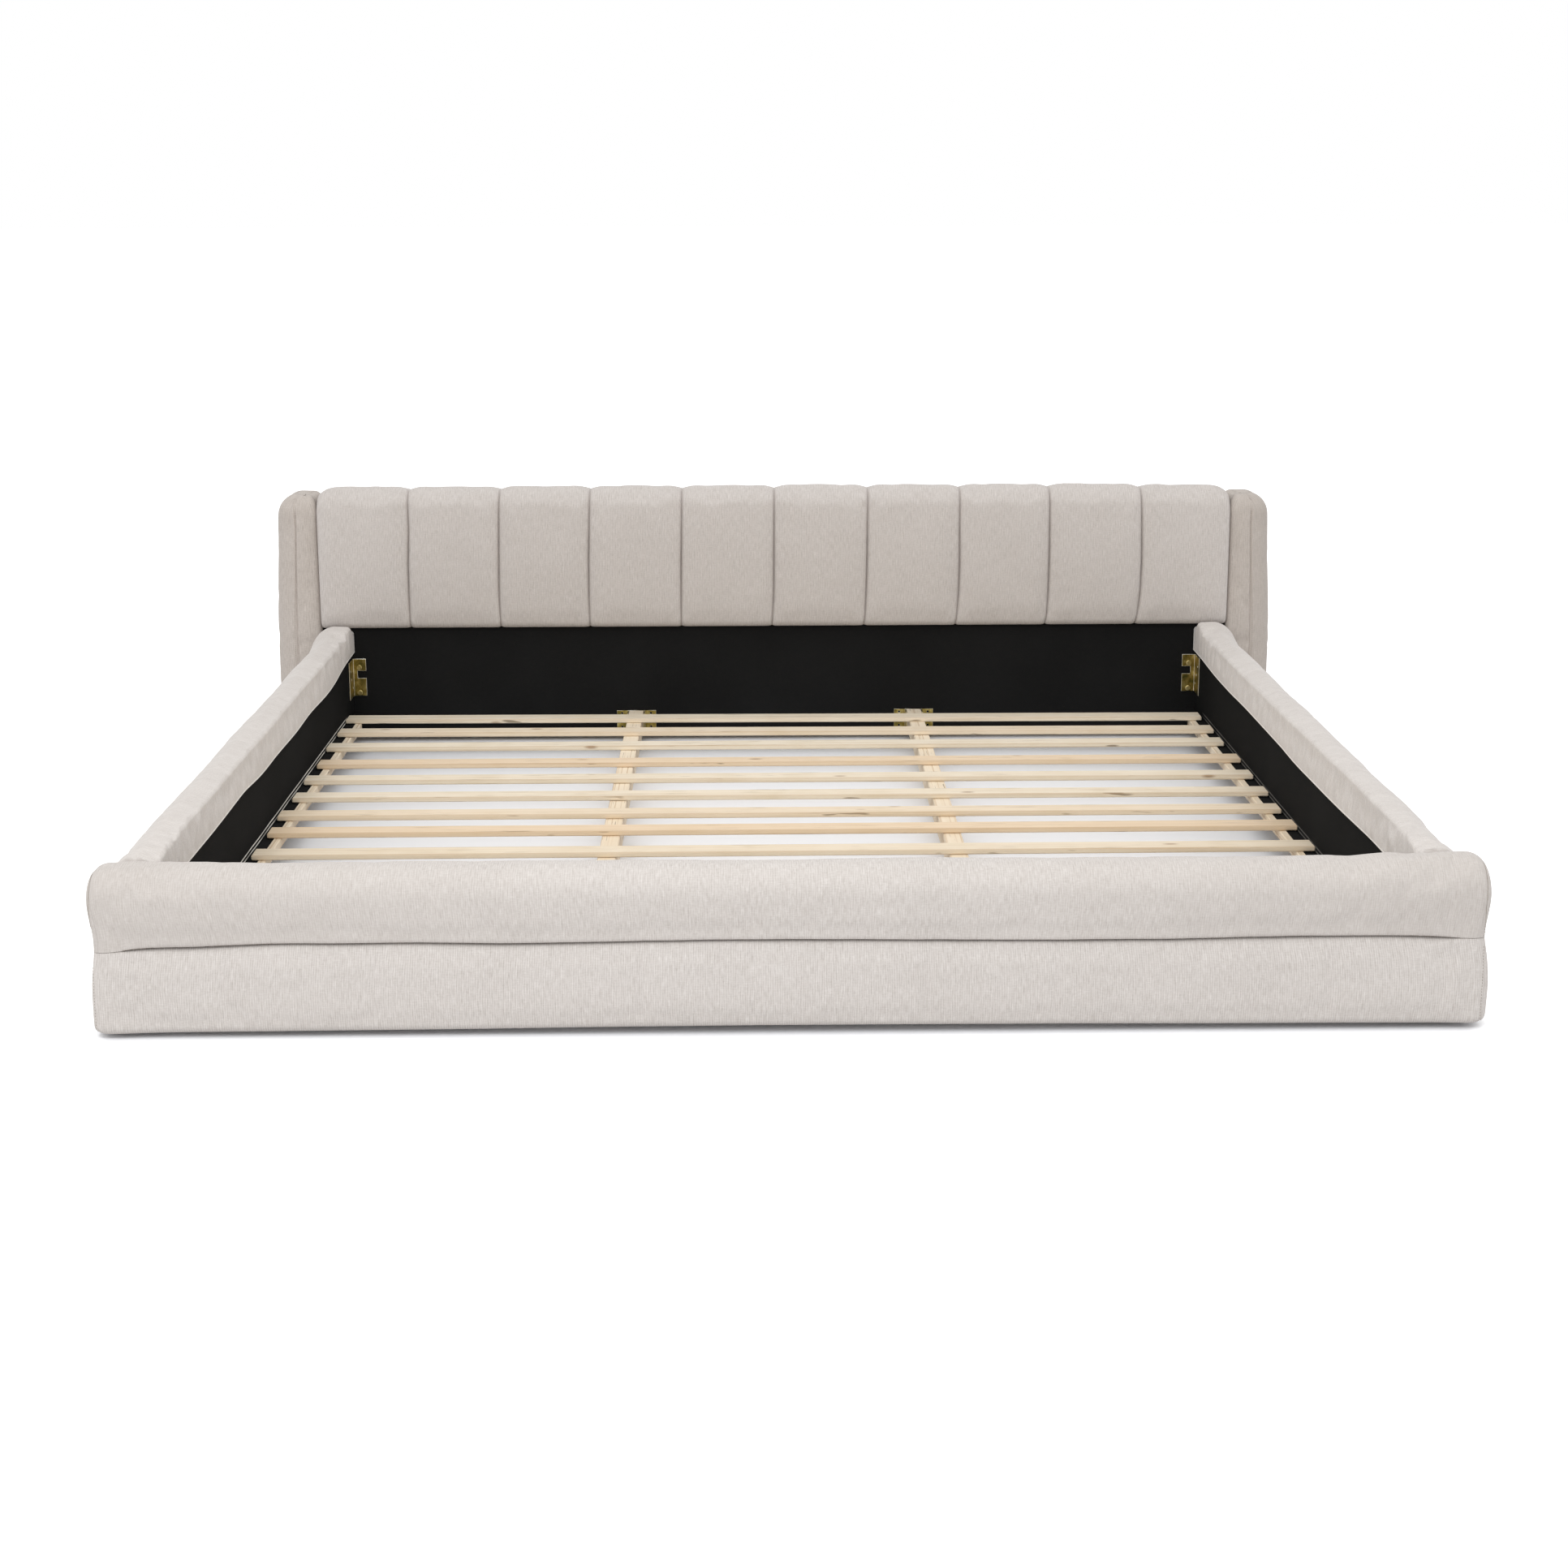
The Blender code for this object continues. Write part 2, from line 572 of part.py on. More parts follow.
def add_headboard(materials):
    """Panel, top rail, black lining, back cover and channel pad, between the two posts."""
    half = POST_INNER_FACE - GAP
    panel_front = HEAD_FACE + LINING + GAP
    panel_back = panel_front + HEAD_PANEL
    cover_back = HEAD_FACE + HEAD_DEPTH - PAD_SET_BACK
    cover_front = cover_back - HEAD_BACK_COVER
    panel = add_block(
        "headboard_panel",
        (-half, panel_front, HEAD_PANEL_BOTTOM),
        (half, panel_back, FRAME_TOP),
        materials["board"],
    )
    add_block(
        "headboard_top_rail",
        (-half, panel_back + GAP, FRAME_TOP - HEAD_RAIL_HEIGHT),
        (half, cover_front - GAP, FRAME_TOP),
        materials["board"],
        BOARD_EDGE,
    )
    lining = add_block(
        "headboard_lining",
        (-PAD_WIDTH / 2, HEAD_FACE, HEAD_PANEL_BOTTOM),
        (PAD_WIDTH / 2, HEAD_FACE + LINING, PAD_BOTTOM - GAP),
        materials["lining"],
    )
    add_block(
        "headboard_back_cover",
        (-PAD_WIDTH / 2, cover_front, HEAD_PANEL_BOTTOM),
        (PAD_WIDTH / 2, cover_back, FRAME_TOP),
        materials["lining"],
    )
    add_headboard_pad(materials["fabric"])
    return panel, lining


def add_rail(name, side, materials):
    """Board, black lining, padded cover, black ledger and the pine cleat that carries the slats."""
    faces = {
        "lining": (0, LINING),
        "board": (LINING + GAP, LINING + GAP + BOARD),
        "ledger": (-GAP - LEDGER_WIDTH, -GAP),
        "cleat": (-GAP - LEDGER_WIDTH - GAP - CLEAT_WIDTH, -GAP - LEDGER_WIDTH - GAP),
    }
    heights = {
        "lining": (BOARD_BOTTOM, BOARD_TOP),
        "board": (BOARD_BOTTOM, BOARD_TOP),
        "ledger": (SUPPORT_TOP - LEDGER_DROP - LEDGER_HEIGHT, SUPPORT_TOP - LEDGER_DROP),
        "cleat": (SUPPORT_TOP - CLEAT_HEIGHT, SUPPORT_TOP),
    }
    surfaces = {"lining": "lining", "board": "board", "ledger": "lining", "cleat": "pine"}
    for piece, (inner, outer) in faces.items():
        bottom, top = heights[piece]
        head_end = HEAD_FACE - FIRST_SLAT if piece == "cleat" else RAIL_HEAD_END
        add_block(
            f"{name}_{'slat' if piece == 'cleat' else 'rail'}_{piece}",
            (side * (SIDE_FACE + inner), RAIL_FOOT_END, bottom),
            (side * (SIDE_FACE + outer), head_end, top),
            materials[surfaces[piece]],
            None if piece == "lining" else BOARD_EDGE,
        )
    add_rail_cover(f"{name}_rail_cover", side, materials["fabric"])


def add_slats(material):
    placing = zip(SLAT_SHIFT_SHARES, SLAT_SIDE_SHARES, SLAT_SKEW_SHARES)
    for number, (shift, sideways, skew) in enumerate(placing):
        half = Vector((SLAT_LENGTH, SLAT_WIDTH, SLAT_THICKNESS)) / 2
        slat = add_block(f"slat_{number + 1:02d}", -half, half, material, SLAT_EDGE)
        middle = HEAD_FACE - FIRST_SLAT - SLAT_PITCH * (number - shift)
        slat.location = (sideways * SLAT_END_GAP, middle, SLAT_TOP - SLAT_THICKNESS / 2)
        slat.rotation_euler = (0, 0, -math.atan(skew * SLAT_WIDTH / SLAT_LENGTH))


def add_cradle(name, x, face, towards, materials):
    """A beam bracket: a screwed plate on the lining, and a folded cradle that the beam's end drops into."""
    near = face + towards * GAP
    plate_face = near + towards * PLATE
    top = SUPPORT_TOP
    floor = BEAM_BOTTOM - GAP
    cradle_side = CRADLE_HALF + PLATE
    half = cradle_side + CRADLE_EAR
    bottom = floor - PLATE - CRADLE_PLATE_BELOW
    bracket = add_block(name, (x - half, near, bottom), (x + half, plate_face, top), materials["zinc"])
    reach = near + towards * CRADLE_REACH
    cradle = block_bmesh(
        (x - cradle_side, near + towards * GAP, floor - PLATE), (x + cradle_side, reach, top - GAP)
    )
    combine(bracket, add_cutter(f"{name}_cradle", cradle), "UNION")
    cut_block(
        bracket,
        (x - CRADLE_HALF, plate_face, floor),
        (x + CRADLE_HALF, reach + towards * OVERRUN, top + OVERRUN),
    )
    for across in (CRADLE_HOLE_INSET - half, half - CRADLE_HOLE_INSET):
        for height in (bottom + CRADLE_HOLE_FROM_EDGE, top - CRADLE_HOLE_FROM_EDGE):
            cut_hole(
                bracket,
                (x + across, face - towards * OVERRUN, height),
                (x + across, plate_face + towards * OVERRUN, height),
                CRADLE_HOLE_RADIUS,
            )


def add_hook_bracket(name, side, face, towards, materials):
    """A corner bracket: one leaf on the rail, one on the end panel with a notch between two bolt holes."""
    corner_x = SIDE_FACE - GAP
    corner_y = face + towards * GAP
    edge_x = corner_x - HOOK_LEAF
    end_y = corner_y + towards * HOOK_RAIL_LEAF
    top = HOOK_BOTTOM + HOOK_HEIGHT
    bracket = add_block(
        name, (side * corner_x, corner_y, HOOK_BOTTOM), (side * edge_x, end_y, top), materials["zinc"]
    )
    cut_block(
        bracket,
        (side * (corner_x - PLATE), corner_y + towards * PLATE, HOOK_BOTTOM - OVERRUN),
        (side * (edge_x - OVERRUN), end_y + towards * OVERRUN, top + OVERRUN),
    )
    bolt_x = corner_x - HOOK_LEAF / 2
    through = (corner_y - towards * OVERRUN, corner_y + towards * (PLATE + OVERRUN))
    bore = BOLT_RADIUS + BOLT_CLEARANCE
    notch_low = HOOK_BOTTOM + HOOK_NOTCH_RISE
    cut_block(
        bracket,
        (side * (edge_x - OVERRUN), through[0], notch_low),
        (side * (edge_x + HOOK_NOTCH_DEPTH), through[1], notch_low + HOOK_NOTCH_HEIGHT),
    )
    for rise in (BOLT_UPPER_RISE, BOLT_LOWER_RISE):
        height = HOOK_BOTTOM + rise
        cut_hole(bracket, (side * bolt_x, through[0], height), (side * bolt_x, through[1], height), bore)
    for number in range(HOOK_HOLE_COUNT):
        y = corner_y + towards * HOOK_RAIL_LEAF * (number + 1) / (HOOK_HOLE_COUNT + 1)
        height = HOOK_BOTTOM + HOOK_HEIGHT * (number + 1) / (HOOK_HOLE_COUNT + 1)
        cut_hole(
            bracket,
            (side * (SIDE_FACE + OVERRUN), y, height),
            (side * (SIDE_FACE - PLATE - OVERRUN), y, height),
            HOOK_HOLE_RADIUS,
        )
    return bolt_x


def add_bolt(name, x, face, towards, height, carriers, materials):
    """A round-head bolt through a hook bracket, in a bore through the lining and into the panel."""
    head_under = PLATE + GAP + GAP
    head_top = head_under + BOLT_HEAD_HEIGHT
    profile = [(0, head_top), (BOLT_HEAD_RADIUS - BOLT_HEAD_ROUND, head_top)]
    profile += [(BOLT_HEAD_RADIUS, head_top - BOLT_HEAD_ROUND), (BOLT_HEAD_RADIUS, head_under)]
    profile += [(BOLT_RADIUS, head_under), (BOLT_RADIUS, -BOLT_LENGTH), (0, -BOLT_LENGTH)]
    bolt = add_turned(name, profile, materials["zinc"], (x, face, height), lie_along_y=True)
    if towards > 0:
        bolt.rotation_euler.z = math.pi
    for carrier in carriers:
        cut_hole(
            carrier,
            (x, face + towards * OVERRUN, height),
            (x, face - towards * (BOLT_LENGTH + BOLT_CLEARANCE), height),
            BOLT_RADIUS + BOLT_CLEARANCE,
        )


def add_glide(name, x, y, radius, materials):
    """A round plastic glide between the floor and a board's or a post's end."""
    top = FOOT_BOARD_BOTTOM - GAP
    profile = [(0, top), (radius, top), (radius, GLIDE_ROUND), (radius - GLIDE_ROUND, 0), (0, 0)]
    add_turned(name, profile, materials["plastic"], (x, y, 0))


def add_beam(name, side, materials):
    """A pine beam from end to end, with a levelling foot screwed into its underside at mid-length."""
    x = side * BEAM_OFFSET
    y = (FOOT_FACE + HEAD_FACE) / 2
    clear = GAP + PLATE + GAP
    stem_top = BEAM_BOTTOM + STEM_IN_BEAM
    bore_top = stem_top + STEM_BORE_SPARE
    beam = add_block(
        f"{name}_centre_beam",
        (x - BEAM_WIDTH / 2, FOOT_FACE + clear, BEAM_BOTTOM),
        (x + BEAM_WIDTH / 2, HEAD_FACE - clear, SUPPORT_TOP),
        materials["pine"],
        BOARD_EDGE,
    )
    cut_hole(beam, (x, y, BEAM_BOTTOM - OVERRUN), (x, y, bore_top), STEM_RADIUS + STEM_BORE_CLEARANCE)
    hub_top = FOOT_PAD_HEIGHT + FOOT_HUB_HEIGHT
    profile = [(0, stem_top), (STEM_RADIUS, stem_top), (STEM_RADIUS, hub_top), (FOOT_HUB_RADIUS, hub_top)]
    profile += [(FOOT_HUB_RADIUS, FOOT_PAD_HEIGHT), (FOOT_PAD_RADIUS, FOOT_PAD_HEIGHT - GLIDE_ROUND)]
    profile += [(FOOT_PAD_RADIUS, GLIDE_ROUND), (FOOT_PAD_RADIUS - GLIDE_ROUND, 0), (0, 0)]
    add_turned(f"{name}_levelling_foot", profile, materials["plastic"], (x, y, 0))
    add_cradle(f"{name}_head_beam_bracket", x, HEAD_FACE, -1, materials)
    add_cradle(f"{name}_foot_beam_bracket", x, FOOT_FACE, 1, materials)


def build():
    clear_scene()
    materials = {
        "fabric": make_material("greige_weave", (0.58, 0.53, 0.48), 0.9),
        "lining": make_material("black_lining_cloth", (0.012, 0.012, 0.012), 0.85),
        "board": make_material("plywood", (0.62, 0.47, 0.30), 0.7),
        "pine": make_material("pale_pine", (0.80, 0.66, 0.46), 0.6),
        "zinc": make_material("yellow_zinc", (0.45, 0.34, 0.10), 0.35, 1.0),
        "plastic": make_material("black_plastic", (0.03, 0.03, 0.03), 0.5),
    }
    add_footboard(materials)
    head_panel, head_lining = add_headboard(materials)
    foot_panel = bpy.data.objects["footboard_panel"]
    foot_lining = bpy.data.objects["footboard_lining"]
    ends = (
        ("head", HEAD_FACE, -1, (head_lining, head_panel)),
        ("foot", FOOT_FACE, 1, (foot_lining, foot_panel)),
    )
    for name, side in SIDES.items():
        add_wing(name, side, materials)
        add_rail(name, side, materials)
        add_beam(name, side, materials)
        for end, face, towards, carriers in ends:
            bolt_x = side * add_hook_bracket(f"{name}_{end}_hook_bracket", side, face, towards, materials)
            for place, rise in (("upper", BOLT_UPPER_RISE), ("lower", BOLT_LOWER_RISE)):
                height = HOOK_BOTTOM + rise
                bolt_name = f"{name}_{end}_{place}_bolt"
                add_bolt(bolt_name, bolt_x, face, towards, height, carriers, materials)
    add_slats(materials["pine"])


build()
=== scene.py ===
import json
import math

import bmesh
import bpy
import numpy
from mathutils import Matrix, Vector, noise
from mathutils.bvhtree import BVHTree


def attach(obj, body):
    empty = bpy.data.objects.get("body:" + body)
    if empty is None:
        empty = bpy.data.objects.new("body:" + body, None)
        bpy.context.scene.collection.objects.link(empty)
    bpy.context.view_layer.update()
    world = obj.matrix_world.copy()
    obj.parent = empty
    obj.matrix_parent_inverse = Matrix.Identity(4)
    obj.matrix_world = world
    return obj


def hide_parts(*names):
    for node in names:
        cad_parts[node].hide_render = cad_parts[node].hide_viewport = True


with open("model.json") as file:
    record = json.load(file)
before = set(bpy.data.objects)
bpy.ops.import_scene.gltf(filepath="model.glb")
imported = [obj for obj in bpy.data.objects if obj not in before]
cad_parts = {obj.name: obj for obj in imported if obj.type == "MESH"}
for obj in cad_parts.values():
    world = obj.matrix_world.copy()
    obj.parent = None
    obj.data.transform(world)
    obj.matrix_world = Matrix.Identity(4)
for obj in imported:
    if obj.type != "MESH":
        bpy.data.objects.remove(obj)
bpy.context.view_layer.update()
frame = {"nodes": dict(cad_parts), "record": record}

# The looks of an upholstered bed frame. All lengths are in metres.
# The padded covers are rebuilt from the CAD part's own sections, closer together, then settled as cloth.

# Sizes as in the CAD part, but for the pad's top, crown and draw and the rails' inner round
GAP = 0.0003
OVERRUN = 0.010
BOARD = 0.022
LINING = 0.004
BOARD_OUTSIDE = LINING + GAP + BOARD + GAP
BOARD_TOP = 0.225
BOARD_BOTTOM = 0.018
FLAP_EDGE = 0.002
SIDE_FACE = 0.980
HEAD_FACE = 1.005
FOOT_FACE = -1.041

RAIL_TOP = 0.275
RAIL_THICKNESS = 0.074
RAIL_FLAP = 0.007
RAIL_FLAP_LOW = 0.200
RAIL_INNER_ROUND = 0.009
RAIL_OUTER_ROUND = 0.058
RAIL_HEM_ROUND = 0.012
RAIL_SIDE_CROWN = 0.003
RAIL_SWELL = 0.008
RAIL_SWELL_OUT = 0.007
RAIL_SWELL_LENGTH = 0.140
RAIL_TUCK_CLEARANCE = 0.005
RAIL_TUCK_LENGTH = 0.046
RAIL_FOOT_END = FOOT_FACE + 0.0063
RAIL_HEAD_END = HEAD_FACE - GAP
RAIL_TUCK_START = RAIL_HEAD_END - RAIL_TUCK_LENGTH

FOOT_WIDTH = 2.140
FOOT_BOARD_WIDTH = 2.080
FOOT_DEPTH = 0.084
FOOT_TOP = 0.2645
FOOT_BOTTOM = 0.0075
FOOT_FLAP = 0.006
FOOT_FLAP_LOW = 0.199
FOOT_INNER_ROUND = 0.020
FOOT_OUTER_ROUND = 0.046
FOOT_LOWER_IN = 0.003
FOOT_HEM_ROUND = 0.014
FOOT_RETURN = 0.010
FOOT_END_ROUND = 0.026
FOLD_HEIGHT = 0.149
FOLD_IN = 0.013
FOLD_ROUND = 0.016
FOOT_WAIST = 0.006
FOOT_WAIST_REACH = 0.075

HEAD_DEPTH = 0.120
HEAD_BACK = HEAD_FACE + HEAD_DEPTH
HEAD_TOP = 0.592
FRAME_TOP = 0.5257
HEAD_BACK_COVER = 0.004
PAD_WIDTH = 2.088
PAD_BOTTOM = 0.2708
PAD_FRONT = 0.030
PAD_COVER = 0.066
PAD_SET_BACK = 0.006
PAD_CHANNELS = 10
PAD_PITCH = 0.210
PAD_DRAW = 0.006
PAD_CROWN = 0.007
PAD_TOP_DIP = 0.007
PAD_BOTTOM_DIP = 0.002
PAD_BOTTOM_ROUND = 0.020
PAD_TOP_ROUND = 0.042
PAD_TOP_FALL = 0.038
PAD_BACK_FALL = 0.036
PAD_END_ROUND = 0.045
PAD_END_FALL = 0.016

WING_TOP = 0.5755
WING_BOTTOM = 0.012
WING_INNER_FACE = 1.0443
WING_OUTER_FACE = 1.146
WING_FRONT = 0.020
WING_LEAN = 0.013
WING_FRONT_ROUND = 0.030
WING_INNER_ROUND = 0.012
WING_BACK_ROUND = 0.016
WING_BACK_INNER_ROUND = 0.004
WING_CROWN = 0.003
WING_TOP_ROUND = 0.042
WING_TOP_OUT = 0.036
WING_TOP_IN = 0.020
WING_BACK_PADDING = 0.014
POST_INNER_FACE = 1.0593
POST_OUTER_FACE = 1.1113
POST_FRONT = 0.002

# How far each pad seam lies from its even place, at each height
PAD_SEAM_HEIGHTS = (0.277, 0.295, 0.35, 0.42, 0.50, 0.57)
PAD_SEAM_LINES = (
    (0.0,) * 6,
    (0.0012, 0.0012, 0.0012, 0.0018, 0.0056, 0.0045),
    (-0.0009, -0.0011, -0.0026, -0.0010, 0.0007, 0.0028),
    (-0.0058, -0.0059, -0.0066, -0.0059, -0.0034, -0.0012),
    (-0.0052, -0.0053, -0.0048, -0.0040, -0.0022, -0.0013),
    (-0.0062, -0.0049, -0.0021, -0.0015, -0.0010, -0.0004),
    (-0.0038, -0.0018, 0.0002, 0.0020, 0.0025, 0.0037),
    (-0.0025, -0.0002, 0.0031, 0.0045, 0.0036, 0.0042),
    (-0.0055, -0.0025, -0.0007, 0.0002, 0.0, -0.0004),
    (-0.0070, -0.0034, 0.0016, 0.0029, 0.0013, -0.0006),
    (0.0,) * 6,
)

# The pad's looks: how much of a channel is flat, its points, notched seams, lower right end and hem
PAD_FLAT_SHARE = 0.90
PAD_TOP_FLAT_SHARE = 0.55
PAD_STEPS = 20
PAD_FRONT_STEPS = 20
PAD_NOTCH = 0.006
PAD_RIGHT_FALL = 0.0045
PAD_FALL_START = 0.72
PAD_FALL_LENGTH = 0.28
PAD_HEM_RIPPLE = 0.0016
PAD_HEM_RIPPLE_HEIGHT = 0.022

# How far each rail's inner top edge lies below its top, at four places along the bed
RAIL_DROP_PLACES = (-0.6, 0.4, 0.88, 0.95)
RAIL_DROPS = {-1: (0.010, 0.010, 0.010, 0.002), 1: (0.002, 0.012, 0.010, 0.002)}

# The rails' tops: the angle where their slope ends, and how far they fall at the foot end
RAIL_SLOPE_END = 80
RAIL_FOOT_FALL = 0.0085
RAIL_FALL_LENGTH = 0.050
RAIL_STEP = 0.0090

# The rims of their inner flaps get a painted highlight: how far it runs along the head end, and the height of
# the hem's edge
RAIL_END_HIGHLIGHT = 0.0135
HEM_EDGE = 0.0042

# Where each rail's inner flap hem runs: its height at each place along the bed, left rail and right rail
RAIL_HEM_PLACES = {
    -1: (
        -1.0, -0.74, -0.63, -0.52, -0.40, -0.34, -0.28, -0.215, -0.15, -0.01,
        0.13, 0.21, 0.37, 0.45, 0.54, 0.625, 0.72, 0.81, 0.90, 1.0,
    ),
    1: (-1.0, -0.74, -0.64, -0.53, -0.41, -0.16, -0.09, -0.02, 0.12, 0.35, 0.43, 0.52, 0.69, 0.78, 0.88, 1.0),
}
RAIL_HEM_LINES = {
    -1: (
        0.2012, 0.2004, 0.1998, 0.2007, 0.2025, 0.2032, 0.2001, 0.1966, 0.1949, 0.1962,
        0.1945, 0.1936, 0.1976, 0.1962, 0.1934, 0.1924, 0.1957, 0.2042, 0.2090, 0.2110,
    ),
    1: (
        0.2045, 0.2056, 0.2028, 0.1997, 0.1978, 0.1954, 0.1963, 0.1986,
        0.1993, 0.2001, 0.1994, 0.1976, 0.1983, 0.2008, 0.2050, 0.2066,
    ),
}

# The wings' front seams and the right wing's lower top
WING_SEAM_IN = 0.048
WING_SEAM_SPREAD = 0.013
WING_SEAM_TOP = 0.552
WING_SEAM_GROOVE = 0.0036
WING_RIGHT_FALL = 0.0065
WING_SEAM_OFFSETS = (-0.006, -0.003, -0.0012, 0.0, 0.0012, 0.003, 0.006)
WING_STEPS = 50

# The stitches, and the footboard's seams round its ends
STITCH_LENGTH = 0.0031
STITCH_PITCH = 0.0046
STITCH_RADIUS = 0.00038
FOOT_SEAM_ANGLE = 45
FOOT_SEAM_GROOVE = 0.0016
UPPER_LIP_SHARE = 0.55

# Where the footboard's long fold and its hem run: height at each place across the bed
FOLD_PLACES = (
    -1.05, -1.011, -0.98, -0.91, -0.82, -0.78, -0.70, -0.60, -0.45, -0.30,
    -0.15, 0.07, 0.29, 0.44, 0.59, 0.74, 0.89, 0.96, 1.01, 1.05,
)
FOLD_LINE = (
    0.1390, 0.1446, 0.1465, 0.1463, 0.1512, 0.1522, 0.1508, 0.1520, 0.1492, 0.1504,
    0.1530, 0.1525, 0.1500, 0.1489, 0.1492, 0.1518, 0.1530, 0.1514, 0.1494, 0.1482,
)
HEM_PLACES = (-1.05, -0.94, -0.70, -0.49, -0.27, -0.04, 0.18, 0.41, 0.63, 0.86, 1.05)
HEM_LINE = (0.0068, 0.0084, 0.0093, 0.0102, 0.0120, 0.0129, 0.0126, 0.0120, 0.0104, 0.0098, 0.0086)
FOLD_SHADE = 0.0016
PLINTH_LOW = 0.0012
PLINTH_IN = 0.050

# How far the footboard's ends stand out at each height, next to the CAD part's
END_HEIGHTS = (0.008, 0.060, 0.120, 0.149, 0.170, 0.200, 0.235, 0.265)
END_STANDS = {
    -1: (-0.0025, -0.0025, -0.0033, -0.0039, -0.0039, -0.0024, 0.0, 0.0),
    1: (0.0020, 0.0042, 0.0040, 0.0006, 0.0012, 0.0022, 0.0027, 0.0020),
}

# Heights of the two pale lines near the rail linings' lower edge
HEM_STRIPES = (0.0818, 0.0740)

# How orange each pine is, also that of the pieces along the bed, and which slats aren't pale
PINE_TINTS = {"pale": 0.0, "warm": 0.16, "orange": 0.42, "along": 0.12}
SLAT_TONES = {
    "slat_02": "warm", "slat_04": "orange", "slat_07": "warm", "slat_08": "orange",
    "slat_10": "warm", "slat_12": "orange", "slat_13": "warm",
}

# Each cloth: its light and dark threads in sRGB, and what sets it apart
FABRICS = {
    "greige_linen": ((224, 219, 215), (180, 173, 167), {}),
    # The pad's cloth is a darker copy of the greige linen: painted shade, as the headboard stands farther
    # from the light
    "greige_linen_pad": ((214, 208, 204), (176, 169, 163), {}),
    # The wings' cloth is a darker copy too, painted shade of the headboard, and the right wing has painted
    # shade towards its outer side
    "greige_linen_wing": ((207, 199, 192), (168, 159, 151), {"shade": ("right", 1.04, 1.12, 0.35)}),
    # Painted shade on the rails' cloth: darker where it faces up
    "greige_linen_rail": (
        (226, 221, 217), (182, 175, 169),
        {"cloud_scale": (38, 6, 1), "cloudy": 0.16, "shade": ("up", 0.5, 1, 0.3)},
    ),
    # Near-white cloth for the rails' flap rims: a painted highlight
    "greige_linen_hem_highlight": ((254, 252, 249), (240, 236, 232), {}),
    # The upper roll's cloth has painted shade towards both ends
    "greige_linen_upper": ((224, 219, 215), (181, 174, 168), {"ribs": 0.06, "shade": ("ends", 0.35, 1, 0.3)}),
    # Dark cloth along the footboard's long fold: painted shade in the crease
    "greige_linen_fold": ((126, 114, 104), (98, 88, 80), {}),
}

# The colours of each zinc: its dull, middle and bright places
ZINCS = {
    "yellow_zinc": ((98, 98, 50), (158, 138, 72), (204, 188, 122)),
    "bright_zinc": ((168, 150, 92), (206, 190, 132), (232, 220, 176)),
    # The pale zinc on the brackets' bevelled edges is a painted highlight
    "edge_highlight_zinc": ((196, 190, 166), (226, 222, 204), (246, 243, 232)),
}

# The material of a CAD node: by the end of its name, and otherwise by its slot
ENDING_MATERIALS = {
    "_rail_lining": "black_rail_lining",
    "headboard_lining": "black_head_lining",
    "_bolt": "bright_zinc",
}
SLOT_MATERIALS = {
    "lining": "black_lining",
    "board": "raw_board",
    "pine": "pine_along",
    "zinc": "yellow_zinc",
    "plastic": "black_plastic",
    "upholstery": "greige_linen",
}

# The cloth simulation, the same for every cover, and how much wider than its place a cover is cut
CLOTH = {
    "quality": 4, "mass": 0.3, "use_pressure": True, "uniform_pressure_force": 3.0, "bending_stiffness": 0.6,
    "tension_stiffness": 15, "compression_stiffness": 15, "shear_stiffness": 5,
}
SETTLE_FRAMES = 14
SLACK = 0.012
WING_SLACK = 0.008

# From how many degrees a corner is hard, and where a listed line is read to soften it
HARD_CORNER = 50
LINE_SOFTENING = (-0.03, -0.015, 0, 0.015, 0.03)

SIDES = {"left": -1, "right": 1}


def arc(centre, radii, start, end, steps):
    """Points from start to end degrees, both ends included; radii is one radius, or two for an ellipse."""
    wide, high = radii if isinstance(radii, tuple) else (radii, radii)
    angles = [math.radians(start + (end - start) * i / steps) for i in range(steps + 1)]
    return [(centre[0] + wide * math.cos(a), centre[1] + high * math.sin(a)) for a in angles]


def run(start, end, steps):
    """Points on the straight between start and end, both ends left out."""
    shares = [i / steps for i in range(1, steps)]
    return [(start[0] + (end[0] - start[0]) * s, start[1] + (end[1] - start[1]) * s) for s in shares]


def smooth(share):
    share = min(max(share, 0.0), 1.0)
    return share * share * (3 - 2 * share)


def line_height(x, places, line):
    """A listed line's height at x, softened over a hand's breadth."""
    return sum(numpy.interp([x + step for step in LINE_SOFTENING], places, line)) / len(LINE_SOFTENING)


def bump(distance, width):
    return math.exp(-((distance / width) ** 2))


def bridge(bm, near, far):
    """Faces all the way round between two loops of points."""
    for i in range(len(near)):
        after = (i + 1) % len(near)
        bm.faces.new((near[i], near[after], far[after], far[i]))


